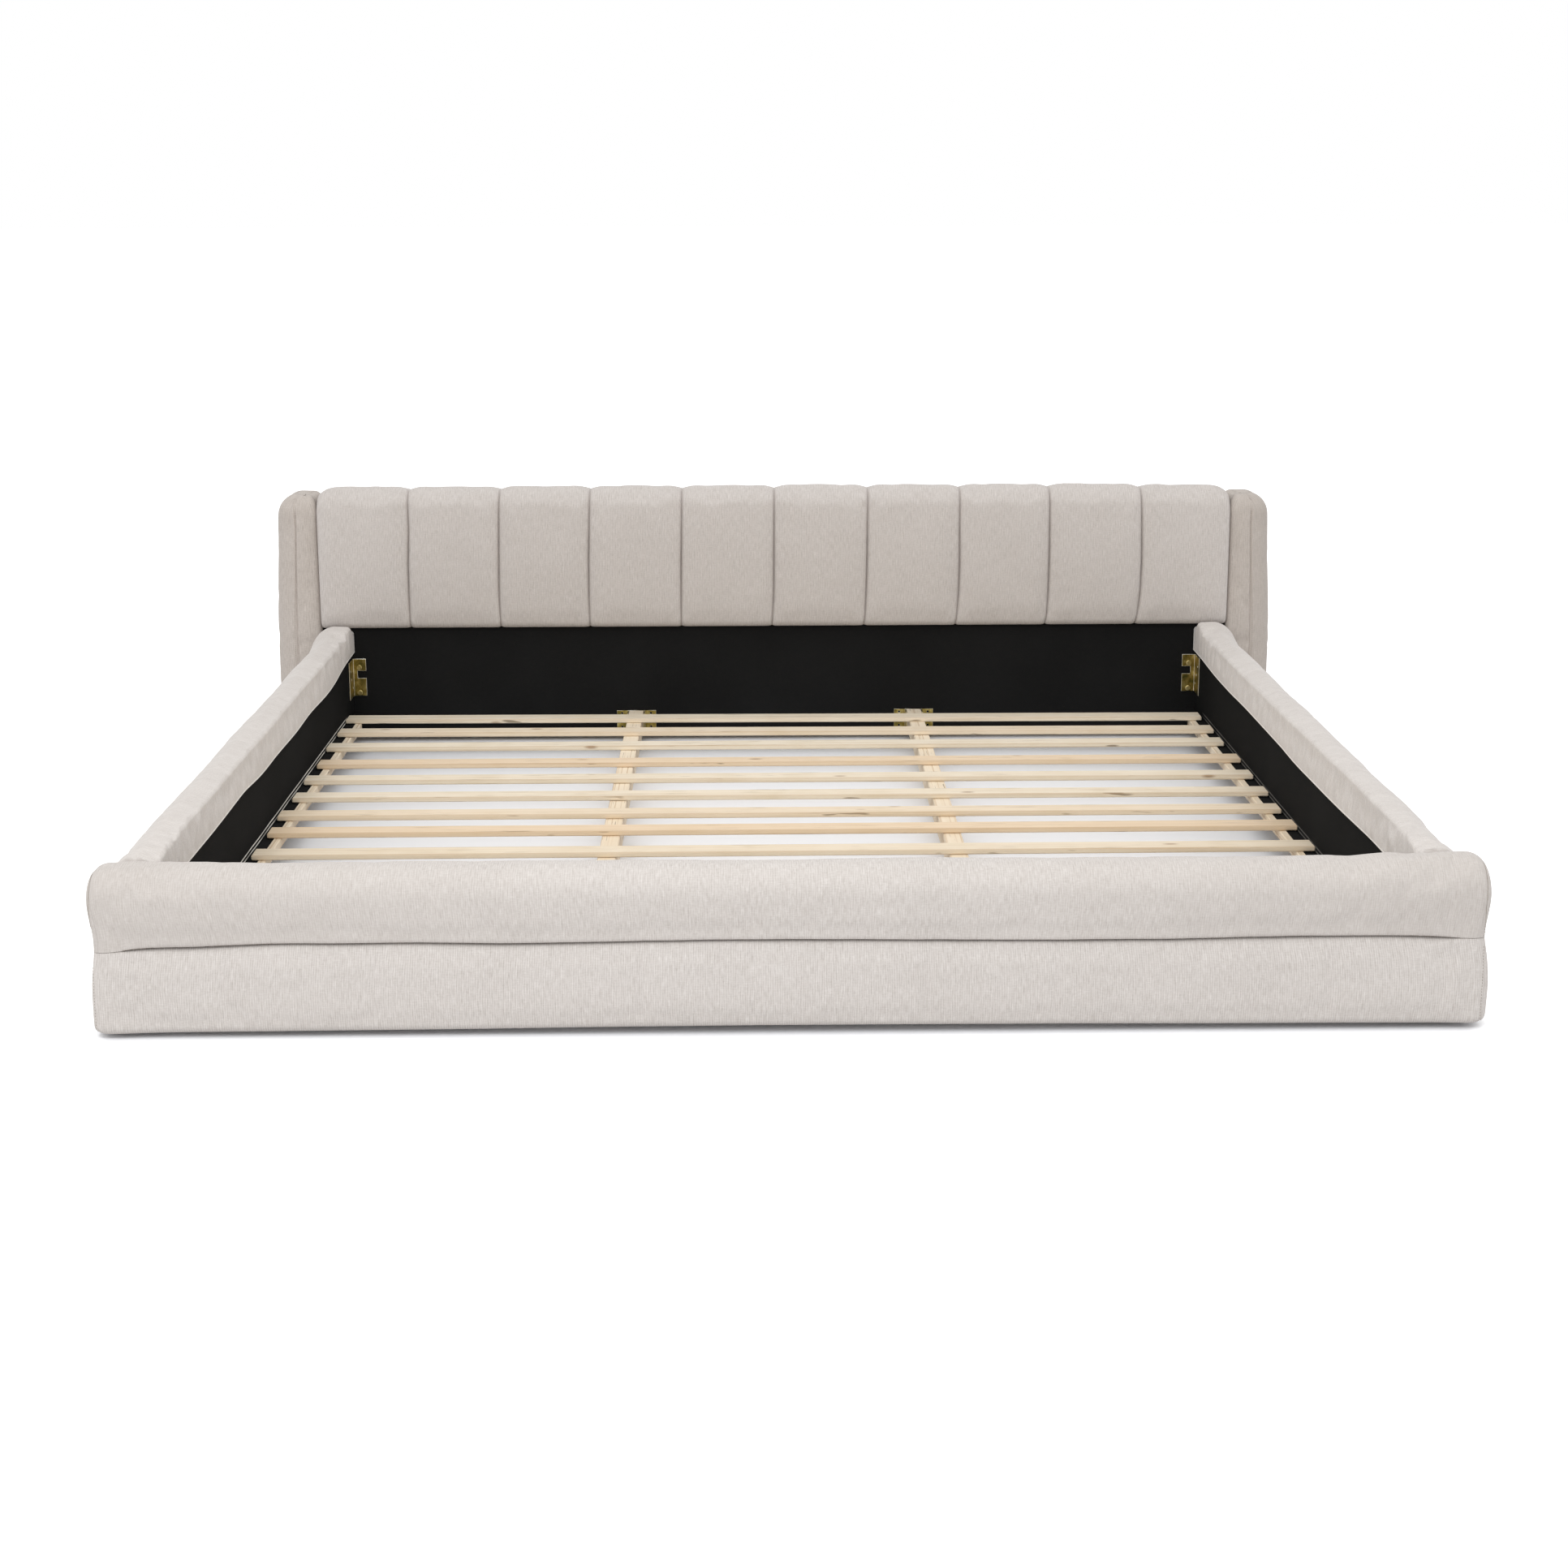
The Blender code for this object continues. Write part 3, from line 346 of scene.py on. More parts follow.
def build_skin(name, rings, wales_along=False, round_start=0, round_end=0, dome=0.004):
    """A closed skin through rings, with creased hard corners and cloth coordinates in the attribute weave.

    An end is capped flat, or domed as high as dome by round_start or round_end shrinking rings.
    """
    grid = numpy.array(rings)
    count = grid.shape[1]

    def lengths(axis):
        steps = numpy.linalg.norm(numpy.diff(grid, axis=axis), axis=2)
        return numpy.concatenate(([0], numpy.cumsum(steps.mean(1 - axis))))

    middle = grid[len(grid) // 2]
    leaving = numpy.roll(middle, -1, axis=0) - middle
    leaving /= numpy.linalg.norm(leaving, axis=1)[:, None]
    turning = (leaving * numpy.roll(leaving, 1, axis=0)).sum(1)
    hard = [i for i in range(count) if turning[i] < math.cos(math.radians(HARD_CORNER))]
    bm = bmesh.new()
    weave = bm.verts.layers.float_vector.new("weave")
    crease = bm.edges.layers.float.new("crease_edge")

    def add_vert(point, u, v):
        vert = bm.verts.new(point)
        vert[weave] = (v, u, 0) if wales_along else (u, v, 0)
        return vert

    along, across = lengths(0), lengths(1)
    loops = [[add_vert(point, u, v) for point, v in zip(ring, across)] for ring, u in zip(grid, along)]
    for near, far in zip(loops, loops[1:]):
        bridge(bm, near, far)
        for i in hard:
            bm.edges.get((near[i], far[i]))[crease] = 1
    for loop, beyond, steps in ((loops[0], loops[1], round_start), (loops[-1], loops[-2], round_end)):
        if not steps:
            cap = bm.faces.new(loop)
            for edge in cap.edges:
                edge[crease] = 1
            bmesh.ops.triangulate(bm, faces=[cap])
            continue
        middle, inside = (sum((vert.co for vert in ring), Vector()) / count for ring in (loop, beyond))
        outwards = (middle - inside).normalized()
        flat = [axis for axis in range(3) if abs(outwards[axis]) < 0.7]
        last = loop
        for step in range(1, steps):
            share = 1 - step / steps
            ring = []
            for vert in loop:
                place = middle + (vert.co - middle) * share + outwards * dome * (1 - share ** 2)
                ring.append(add_vert(place, place[flat[0]], place[flat[1]]))
            bridge(bm, last, ring)
            last = ring
        tip = middle + outwards * dome
        centre = add_vert(tip, tip[flat[0]], tip[flat[1]])
        for i in range(count):
            bm.faces.new((last[i], last[(i + 1) % count], centre))
    bmesh.ops.recalc_face_normals(bm, faces=bm.faces)
    return new_object(name, bm)


def new_object(name, bm):
    mesh = bpy.data.meshes.new(name)
    bm.to_mesh(mesh)
    bm.free()
    mesh.shade_smooth()
    obj = bpy.data.objects.new(name, mesh)
    bpy.context.scene.collection.objects.link(obj)
    return obj


def apply_modifiers(obj):
    """Puts what the modifiers make into the mesh."""
    bpy.context.view_layer.update()
    evaluated = obj.evaluated_get(bpy.context.evaluated_depsgraph_get())
    mesh = bpy.data.meshes.new_from_object(evaluated)
    old = obj.data
    obj.modifiers.clear()
    obj.data = mesh
    bpy.data.meshes.remove(old)


def settle(obj, freedom, slack, reach):
    """Lets the cover relax as slack cloth over its foam's push, by no more than reach and only where free."""
    scene = bpy.context.scene
    rest = [vert.co.copy() for vert in obj.data.vertices]
    free = [freedom(vert.co, vert.normal) for vert in obj.data.vertices]
    held = obj.vertex_groups.new(name="held")
    for index, share in enumerate(free):
        held.add([index], 1 - min(share, 1.0), "REPLACE")
    cloth = obj.modifiers.new("cloth", "CLOTH")
    for key, value in CLOTH.items():
        setattr(cloth.settings, key, value)
    cloth.settings.vertex_group_mass = held.name
    cloth.settings.effector_weights.gravity = 0
    cloth.settings.shrink_min = -slack
    cloth.point_cache.frame_start = 1
    cloth.point_cache.frame_end = SETTLE_FRAMES
    for number in range(1, SETTLE_FRAMES + 1):
        scene.frame_set(number)
    evaluated = obj.evaluated_get(bpy.context.evaluated_depsgraph_get())
    moved = [vert.co.copy() for vert in evaluated.data.vertices]
    obj.modifiers.remove(cloth)
    obj.vertex_groups.remove(held)
    scene.frame_set(1)
    for vert, start, end, share in zip(obj.data.vertices, rest, moved, free):
        step = (end - start) * share
        if step.length > reach:
            step *= reach / step.length
        vert.co = start + step
    obj.data.update()


def soften(obj, relief, freedom, slack, reach):
    """Moves each point along its normal by what relief says, settles the cover and subdivides it once."""
    normals = [vert.normal.copy() for vert in obj.data.vertices]
    for vert, normal in zip(obj.data.vertices, normals):
        vert.co += normal * relief(vert.co, normal)
    obj.data.update()
    settle(obj, freedom, slack, reach)
    obj.modifiers.new("refine", "SUBSURF").levels = 1
    apply_modifiers(obj)


def carve(obj, corner, opposite):
    """Cuts a box out of obj, where its neighbour inside it is."""
    low = Vector([min(pair) for pair in zip(corner, opposite)])
    high = Vector([max(pair) for pair in zip(corner, opposite)])
    bm = bmesh.new()
    size = Matrix.Diagonal((*(high - low), 1))
    bmesh.ops.create_cube(bm, size=1, matrix=Matrix.Translation((low + high) / 2) @ size)
    cutter = new_object("cutter", bm)
    cut = obj.modifiers.new("cut", "BOOLEAN")
    cut.operation = "DIFFERENCE"
    cut.solver = "EXACT"
    cut.object = cutter
    apply_modifiers(obj)
    bpy.data.meshes.remove(cutter.data)


def dress(obj, material):
    obj.data.materials.clear()
    obj.data.materials.append(bpy.data.materials[material])


def paint_faces(obj, material, chosen):
    """Gives a second material to the faces of obj whose middle is chosen."""
    obj.data.materials.append(bpy.data.materials[material])
    for face in obj.data.polygons:
        face.material_index = int(chosen(face.center))


def finish_cover(obj, node, material):
    obj.data.shade_smooth()
    dress(obj, material)
    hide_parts(node)
    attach(obj, "bed_frame")


def ripple(seed, *scaled):
    """Smooth noise from -1 to 1, read at a place of its own for each seed."""
    return noise.noise(Vector(scaled) + Vector((seed * 17.3, seed * 5.1, seed * 29.7)))


# The headboard's channel pad

def pad_seam(number, z):
    """Where seam number, from 0 at the pad's left end to 10 at its right one, runs at height z."""
    even = min(max(PAD_PITCH * (number - PAD_CHANNELS / 2), -PAD_WIDTH / 2), PAD_WIDTH / 2)
    return even + numpy.interp(z, PAD_SEAM_HEIGHTS, PAD_SEAM_LINES[number])


def seam_pull(share, flat):
    """How far a channel's cloth is drawn in, from 0 on its flat middle to 1 at its seams."""
    shoulder = min(max(0.0, (abs(share) - flat) / (1 - flat)), 1.0)
    return 1 - math.sqrt(1 - shoulder ** 2)


def pad_ring(channel, share):
    """The pad's section in a channel; share runs from -1 at its left seam to 1 at its right one."""

    def across(z):
        left, right = pad_seam(channel, z), pad_seam(channel + 1, z)
        return left + (right - left) * (1 + share) / 2

    x = across(FRAME_TOP)
    pull = seam_pull(share, PAD_FLAT_SHARE)
    end = max(0.0, 1 - (PAD_WIDTH / 2 - abs(x)) / PAD_END_ROUND)
    front = HEAD_FACE - PAD_FRONT + PAD_DRAW * pull + PAD_NOTCH * (abs(share) > 0.999)
    top = HEAD_TOP - PAD_RIGHT_FALL * smooth((x - PAD_FALL_START) / PAD_FALL_LENGTH)
    top -= PAD_TOP_DIP * seam_pull(share, PAD_TOP_FLAT_SHARE)
    top -= PAD_END_FALL * (1 - math.sqrt(1 - min(end, 1.0) ** 2))
    bottom = PAD_BOTTOM + PAD_BOTTOM_DIP * pull
    back = HEAD_BACK - PAD_SET_BACK
    seat = HEAD_FACE + LINING - GAP
    under = HEAD_TOP - PAD_COVER
    crown = PAD_CROWN * (1 - pull)
    low = bottom + PAD_BOTTOM_ROUND
    high = top - PAD_TOP_FALL
    ridge = front + PAD_TOP_ROUND
    outline = [(seat, bottom)] + run((seat, bottom), (front + PAD_BOTTOM_ROUND, bottom), 3)
    outline += arc((front + PAD_BOTTOM_ROUND, low), PAD_BOTTOM_ROUND, 270, 180, 5)
    for t in (i / PAD_FRONT_STEPS for i in range(1, PAD_FRONT_STEPS)):
        outline.append((front - crown * 4 * t * (1 - t), low + (high - low) * t))
    outline += arc((ridge, high), (PAD_TOP_ROUND, PAD_TOP_FALL), 180, 90, 9)
    outline += arc((ridge, top - PAD_BACK_FALL), (back - ridge, PAD_BACK_FALL), 90, 0, 8)[1:]
    outline += run(outline[-1], (back, under), 2) + [(back, under)]
    outline += run((back, under), (seat, under), 6) + [(seat, under)] + run((seat, under), (seat, bottom), 8)
    points = []
    for y, z in outline:
        hem = bump(z - PAD_BOTTOM, PAD_HEM_RIPPLE_HEIGHT) * (y < HEAD_FACE - GAP)
        y += PAD_HEM_RIPPLE * (1 + ripple(3, x * 42, z * 20, 0)) * hem
        points.append((across(z), y, z))
    return points


def pad_freedom(point, normal):
    """How free the pad's cloth is: held at its seams, hem, ends and back."""
    seam = min(abs(point.x - pad_seam(number, point.z)) for number in range(PAD_CHANNELS + 1))
    free = smooth((seam - 0.002) / 0.020) * smooth((point.z - PAD_BOTTOM - 0.012) / 0.030)
    return free * smooth((HEAD_FACE + 0.060 - point.y) / 0.030) * (normal.y < 0.2)


def pad_relief(point, normal):
    return 0.0009 * pad_freedom(point, normal) * ripple(1, point.x * 14, point.y * 14, point.z * 9)


def add_pad():
    shares = [math.sin(math.pi / 2 * (2 * i / PAD_STEPS - 1)) for i in range(PAD_STEPS)]
    rings = [pad_ring(channel, share) for channel in range(PAD_CHANNELS) for share in shares]
    rings.append(pad_ring(PAD_CHANNELS - 1, 1.0))
    pad = build_skin("channel_pad_cover", rings)
    soften(pad, pad_relief, pad_freedom, SLACK, 0.0035)
    finish_cover(pad, "headboard_channel_pad", "greige_linen_pad")


# The side rails

def rail_hem(side, y):
    """The height of a rail's inner flap hem at y."""
    return line_height(y, RAIL_HEM_PLACES[side], RAIL_HEM_LINES[side])


def rail_ring(side, y):
    swell = smooth(1 - (RAIL_TUCK_START - y) / RAIL_SWELL_LENGTH)
    tuck = smooth((y - RAIL_TUCK_START) / (RAIL_TUCK_LENGTH / 2))
    free_top = RAIL_TOP + RAIL_SWELL * swell
    top = free_top + (PAD_BOTTOM - RAIL_TUCK_CLEARANCE - free_top) * tuck
    free_outer = RAIL_THICKNESS + RAIL_SWELL_OUT * swell
    tucked_outer = WING_INNER_FACE - GAP - RAIL_TUCK_CLEARANCE - SIDE_FACE
    outer = free_outer + (tucked_outer - free_outer) * tuck
    hem = rail_hem(side, y)
    drop = numpy.interp(y, RAIL_DROP_PLACES, RAIL_DROPS[side])
    fall = RAIL_FOOT_FALL * smooth(1 - (y - RAIL_FOOT_END) / RAIL_FALL_LENGTH)
    flap_top = (-RAIL_FLAP, top - drop - RAIL_INNER_ROUND)
    outer_top = (outer, top - RAIL_OUTER_ROUND)
    outer_low = (outer, BOARD_BOTTOM + RAIL_HEM_ROUND)
    outline = [(-FLAP_EDGE, hem), (0.0008 - RAIL_FLAP, hem + 0.0003), (-RAIL_FLAP, hem + 0.0011)]
    outline += [(-RAIL_FLAP, hem + HEM_EDGE), (-RAIL_FLAP, hem + 2 * HEM_EDGE)]
    outline += run(outline[-1], flap_top, 7)
    outline += arc((RAIL_INNER_ROUND - RAIL_FLAP, flap_top[1]), RAIL_INNER_ROUND, 180, 95, 6)
    shoulder = arc((outer - RAIL_OUTER_ROUND, outer_top[1]), RAIL_OUTER_ROUND, RAIL_SLOPE_END, 0, 10)
    outline += run(outline[-1], shoulder[0], 5) + shoulder
    for out, z in run(outer_top, outer_low, 16):
        height = (z - outer_low[1]) / (outer_top[1] - outer_low[1])
        outline.append((out + 4 * height * (1 - height) * RAIL_SIDE_CROWN * (1 - tuck), z))
    outline += arc((outer - RAIL_HEM_ROUND, outer_low[1]), RAIL_HEM_ROUND, 0, -90, 4)
    inside = len(outline)
    outline += [(BOARD_OUTSIDE, BOARD_BOTTOM), (BOARD_OUTSIDE, BOARD_TOP + GAP), (-GAP, BOARD_TOP + GAP)]
    outline.append((-GAP, hem))
    points = []
    for i, (out, z) in enumerate(outline):
        if i < inside and z > BOARD_TOP:
            z -= fall * (1 - max(out, 0) / outer) * smooth((z - BOARD_TOP) / (flap_top[1] - BOARD_TOP))
        points.append((side * (SIDE_FACE + out), y, z))
    return points


def rail_freedom(point, normal):
    """How free a rail's cloth is: held at both ends, at its hems and against the board."""
    out = abs(point.x) - SIDE_FACE
    ends = smooth((point.y - RAIL_FOOT_END - 0.004) / 0.060)
    ends *= smooth((RAIL_TUCK_START - point.y) / 0.040)
    if out < BOARD + LINING + 0.002 and point.z < BOARD_TOP + 0.004 and out > -0.0015:
        return 0.0
    low = RAIL_FLAP_LOW + 0.004 if out < 0.010 else BOARD_BOTTOM + 0.012
    return ends * smooth((point.z - low) / 0.022)


def rail_relief(side, point, normal):
    """Uneven foam along the top, and faint upright pulls down the inner face."""
    inner = smooth(-side * normal.x * 1.6 - 0.3)
    foam = 0.0017 * ripple(11 + side, point.y * 4.5, point.z * 6, 0)
    foam += 0.0008 * ripple(13 + side, point.y * 13, point.z * 9, 1)
    pulls = 0.0026 * ripple(15 + side, point.y * 34, point.z * 6, 2) * inner
    return (foam + pulls) * rail_freedom(point, normal)


def in_rail_highlight(side, place):
    """Whether a place is on the lower edge or head end of a rail's inner flap, which get a painted highlight.
    """
    if side * place.x >= SIDE_FACE - 0.0012:
        return False
    return place.z < rail_hem(side, place.y) + HEM_EDGE or place.y > RAIL_HEAD_END - RAIL_END_HIGHLIGHT


def add_rail_cover(name, side):
    length = RAIL_HEAD_END - RAIL_FOOT_END
    count = round(length / RAIL_STEP)
    rings = [rail_ring(side, RAIL_FOOT_END + length * i / count) for i in range(count + 1)]
    cover = build_skin(f"{name}_rail_roll", rings)
    soften(cover, lambda *at: rail_relief(side, *at), rail_freedom, SLACK, 0.0040)
    finish_cover(cover, f"{name}_rail_cover", "greige_linen_rail")
    # The flap's lower edge and head end get the near-white cloth: a painted highlight
    paint_faces(cover, "greige_linen_hem_highlight", lambda place: in_rail_highlight(side, place))


# The footboard

def fold_height(x):
    return line_height(x, FOLD_PLACES, FOLD_LINE) + 0.0005 * ripple(42, x * 19, 0, 0)


def fold_lip(x):
    """How deep the fold is at x, as a share: it closes up towards both ends."""
    closing = smooth((abs(x) - FOOT_WIDTH / 2 + 0.085) / 0.060)
    return (1 - 0.85 * closing) * (1 + 0.25 * ripple(43, x * 9, 0, 0))


def foot_stations():
    """Places across the footboard with their end inset from 0 to 1, closer together round each end."""
    free = FOOT_WIDTH / 2 - FOOT_END_ROUND
    seam = FOOT_SEAM_ANGLE
    ends = []
    for angle in (12, 24, 34, seam - 3, seam, seam + 3, 58, 68, 79, 90):
        sunk = FOOT_SEAM_GROOVE / FOOT_END_ROUND * (angle == seam)
        turn = math.radians(angle)
        ends.append((free + FOOT_END_ROUND * (math.sin(turn) - sunk), 1 - math.cos(turn) + sunk))
    middle = [(-free + free * i / 100, 0.0) for i in range(201)]
    return [(-x, inset) for x, inset in reversed(ends)] + middle + ends


def waisted_point(x, out, z):
    """A point of the footboard, drawn in at the fold and set out at the ends as far as photographed."""
    share = smooth(1 - abs(z - FOLD_HEIGHT) / FOOT_WAIST_REACH)
    side = -1 if x < 0 else 1
    stand = numpy.interp(z, END_HEIGHTS, END_STANDS[side]) - FOOT_WAIST * share
    return (x * (1 + stand / (FOOT_WIDTH / 2)), FOOT_FACE - out, z)


def foot_top(x):
    """The footboard's top: a little lower on the left, and fullest at the right end."""
    return FOOT_TOP - 0.0008 * smooth((-x - 0.2) / 0.5) + 0.0030 * smooth((x - 0.84) / 0.10)


def upper_roll_ring(x, inset):
    drawn = FOOT_END_ROUND * inset
    top = foot_top(x) - drawn
    front = FOOT_DEPTH - drawn / 2
    flap = FOOT_FLAP * (1 - inset)
    low = fold_height(x) + GAP / 2
    lip_in, lip_round = FOLD_IN * UPPER_LIP_SHARE * fold_lip(x), FOLD_ROUND * UPPER_LIP_SHARE * fold_lip(x)
    inner_top = top - FOOT_INNER_ROUND
    edge = -FLAP_EDGE * (1 - inset)
    outline = [(edge, FOOT_FLAP_LOW), (-flap, FOOT_FLAP_LOW + 0.004 * (1 - inset) + 0.0005)]
    outline += run(outline[-1], (-flap, inner_top), 6)
    outline += arc((FOOT_INNER_ROUND - flap, inner_top), FOOT_INNER_ROUND, 180, 90, 6)
    outline += arc((front - FOOT_OUTER_ROUND, top - FOOT_OUTER_ROUND), FOOT_OUTER_ROUND, 90, 0, 9)
    lips = arc((front - lip_in, low + lip_round), (lip_in, lip_round), -15, -90, 6)
    outline += run(outline[-1], lips[0], 7) + lips
    outline += run(lips[-1], (FOOT_RETURN, low), 5) + [(FOOT_RETURN, low)]
    outline += run((FOOT_RETURN, low), (FOOT_RETURN, FOOT_FLAP_LOW), 3) + [(FOOT_RETURN, FOOT_FLAP_LOW)]
    return [waisted_point(x, out, z) for out, z in outline]


def lower_roll_ring(x, inset):
    """The lower roll's section, down to a plinth set back under its hem and painted black, as shade there."""
    drawn = FOOT_END_ROUND * inset
    lip_in, lip_round = FOLD_IN * fold_lip(x), FOLD_ROUND * fold_lip(x)
    front = FOOT_DEPTH - FOOT_LOWER_IN * min(fold_lip(x), 1) - drawn / 2
    top = fold_height(x) - GAP / 2
    bottom = line_height(x, HEM_PLACES, HEM_LINE) + drawn / 4
    plinth = front - PLINTH_IN
    outline = [(FOOT_RETURN, top)] + run((FOOT_RETURN, top), (front - lip_in, top), 5)
    outline += arc((front - lip_in, top - lip_round), (lip_in, lip_round), 90, 0, 6)
    hem = arc((front - FOOT_HEM_ROUND, bottom + FOOT_HEM_ROUND), FOOT_HEM_ROUND, 0, -90, 5)
    outline += run(outline[-1], hem[0], 12) + hem + [(plinth, bottom), (plinth, PLINTH_LOW)]
    outline += run(outline[-1], (FOOT_RETURN, PLINTH_LOW), 4) + [(FOOT_RETURN, PLINTH_LOW)]
    outline += run(outline[-1], (FOOT_RETURN, top), 9)
    return [waisted_point(x, out, z) for out, z in outline]


def foot_freedom(point, normal):
    """How free the footboard's cloth is: held at the fold, hem, ends, flap and against the board."""
    out = FOOT_FACE - point.y
    free = smooth((FOOT_WIDTH / 2 - 0.012 - abs(point.x)) / 0.045)
    free *= smooth((abs(point.z - fold_height(point.x)) - 0.003) / 0.030)
    free *= smooth((point.z - FOOT_BOTTOM - 0.009) / 0.025)
    if out < FOOT_DEPTH - 0.045 and point.z < BOARD_TOP + 0.010:
        return 0.0
    return free


def foot_relief(point, normal):
    foam = 0.0016 * ripple(21, point.x * 4, point.z * 8, 0)
    foam += 0.0007 * ripple(22, point.x * 12, point.z * 16, 1)
    return foam * foot_freedom(point, normal)


def in_fold(place):
    """Whether a place on the upper roll is in the shade of the long fold."""
    lip = fold_lip(place.x)
    return lip > 0.5 and place.z < fold_height(place.x) + FOLD_SHADE * min(lip, 1)


def under_hem(place):
    return place.z < line_height(place.x, HEM_PLACES, HEM_LINE) - 0.0003


def add_footboard():
    half = FOOT_BOARD_WIDTH / 2 + GAP
    for name, ring, *looks in (
        # Painted shade on the upper roll: darker towards both ends, and dark along the long fold
        ("upper", upper_roll_ring, "greige_linen_upper", "greige_linen_fold", in_fold),
        # The black lining under the hem is painted shade, for the dark gap between hem and floor
        ("lower", lower_roll_ring, "greige_linen", "black_lining", under_hem),
    ):
        rings = [ring(x, inset) for x, inset in foot_stations()]
        roll = build_skin(f"{name}_foot_roll", rings, round_start=6, round_end=6, dome=0.0010)
        soften(roll, foot_relief, foot_freedom, SLACK, 0.0040)
        carve(roll, (-half, FOOT_FACE - BOARD_OUTSIDE, -OVERRUN), (half, FOOT_FACE + GAP, BOARD_TOP + GAP))
        finish_cover(roll, f"footboard_{name}_roll", looks[0])
        paint_faces(roll, *looks[1:])


# The wings

def wing_seam(z):
    """Where the front seam runs at height z, from the middle of the bed."""
    return WING_INNER_FACE + WING_SEAM_IN + WING_SEAM_SPREAD * smooth((0.52 - z) / 0.30)


def wing_ring(side, z, crown, inset_out, inset_in):
    lean = WING_LEAN * smooth((z - BOARD_TOP) / (WING_TOP - BOARD_TOP))
    outer = WING_OUTER_FACE - lean - inset_out
    inner = WING_INNER_FACE + inset_in
    front = HEAD_FACE - WING_FRONT + inset_in
    back = HEAD_BACK - inset_in
    seam = min(wing_seam(z), (inner + outer) / 2 + 0.004)
    groove = WING_SEAM_GROOVE * smooth((WING_SEAM_TOP - z) / 0.020)
    left, right = inner + WING_INNER_ROUND, outer - WING_FRONT_ROUND
    squeeze = min(1.0, (right - left) / 0.040)
    across = [left + (seam - left) * share - 0.006 * squeeze * share for share in (0.25, 0.5, 0.75)]
    across += [seam + offset * squeeze for offset in WING_SEAM_OFFSETS]
    start = across[-1]
    across += [start + (right - start) * share for share in (0.33, 0.66)]
    outline = arc((left, front + WING_INNER_ROUND), WING_INNER_ROUND, 180, 270, 5)
    for x in across:
        t = (x - inner) / (outer - inner)
        outline.append((x, front - crown * 4 * t * (1 - t) + groove * bump(x - seam, 0.0016)))
    outline += arc((right, front + WING_FRONT_ROUND), WING_FRONT_ROUND, 270, 360, 8)
    outline += run(outline[-1], (outer, back - WING_BACK_ROUND), 9)
    outline += arc((outer - WING_BACK_ROUND, back - WING_BACK_ROUND), WING_BACK_ROUND, 0, 90, 4)
    turn = WING_BACK_INNER_ROUND
    outline += run(outline[-1], (inner + turn, back), 5)
    outline += arc((inner + turn, back - turn), turn, 90, 180, 3)
    outline += run(outline[-1], (inner, front + WING_INNER_ROUND), 9)
    fall = WING_RIGHT_FALL * smooth((z - 0.38) / 0.16) * (side > 0)
    return [(side * x, y, z - fall) for x, y in outline]


def wing_freedom(point, normal):
    """How free a wing's cloth is: held on its inner side, at the seam, at the foot and at the back."""
    free = smooth((abs(point.x) - WING_INNER_FACE - 0.004) / 0.012)
    free *= smooth((point.z - WING_BOTTOM - 0.010) / 0.040)
    free *= smooth((HEAD_BACK - 0.010 - point.y) / 0.030)
    if point.z < WING_SEAM_TOP and point.y < HEAD_FACE:
        free *= smooth(abs(abs(point.x) - wing_seam(point.z)) / 0.008)
    return free


def wing_relief(side, point, normal):
    """Soft foam, and the pull at the top of the inner strip."""
    foam = 0.0013 * ripple(31 + side, point.y * 8, point.z * 8, point.x * 8)
    pull = 0.0026 if side < 0 else 0.0012
    pull *= bump(abs(point.x) - 1.062, 0.0055) * bump(point.z - 0.522, 0.022) * (normal.y < -0.5)
    return (foam - pull) * wing_freedom(point, normal)


def add_wing(name, side):
    rings = [wing_ring(side, WING_BOTTOM, 0, 0, 0)]
    straight = WING_TOP - WING_TOP_ROUND
    for i in range(1, WING_STEPS):
        height = WING_BOTTOM + (straight - WING_BOTTOM) * i / WING_STEPS
        rings.append(wing_ring(side, height, WING_CROWN * smooth(i / 4), 0, 0))
    for angle in map(math.radians, range(0, 91, 10)):
        fall = 1 - math.cos(angle)
        height = straight + WING_TOP_ROUND * math.sin(angle)
        rings.append(wing_ring(side, height, WING_CROWN, WING_TOP_OUT * fall, WING_TOP_IN * fall))
    cover = build_skin(f"{name}_wing_roll", rings, wales_along=True, round_end=5)
    soften(cover, lambda *at: wing_relief(side, *at), wing_freedom, WING_SLACK, 0.0030)
    post_back = HEAD_BACK - WING_BACK_PADDING + GAP
    post = (POST_INNER_FACE - GAP, POST_OUTER_FACE + GAP, HEAD_FACE - POST_FRONT, post_back)
    panel = (WING_INNER_FACE - OVERRUN, POST_INNER_FACE + OVERRUN, HEAD_FACE, HEAD_BACK - HEAD_BACK_COVER)
    for inner, outer, front, back in (post, panel):
        carve(cover, (side * inner, front - GAP, -OVERRUN), (side * outer, back, FRAME_TOP + GAP))
    finish_cover(cover, f"{name}_wing_cover", "greige_linen_wing")
    count = int((WING_SEAM_TOP - 0.03) / STITCH_PITCH)
    heights = [WING_BOTTOM + 0.008 + STITCH_PITCH * i for i in range(count)]
    seam = [(Vector((side * wing_seam(z), HEAD_FACE - 0.2, z)), Vector((0, 1, 0))) for z in heights]
    add_stitches(f"{name}_wing_seam_thread", cover, seam)


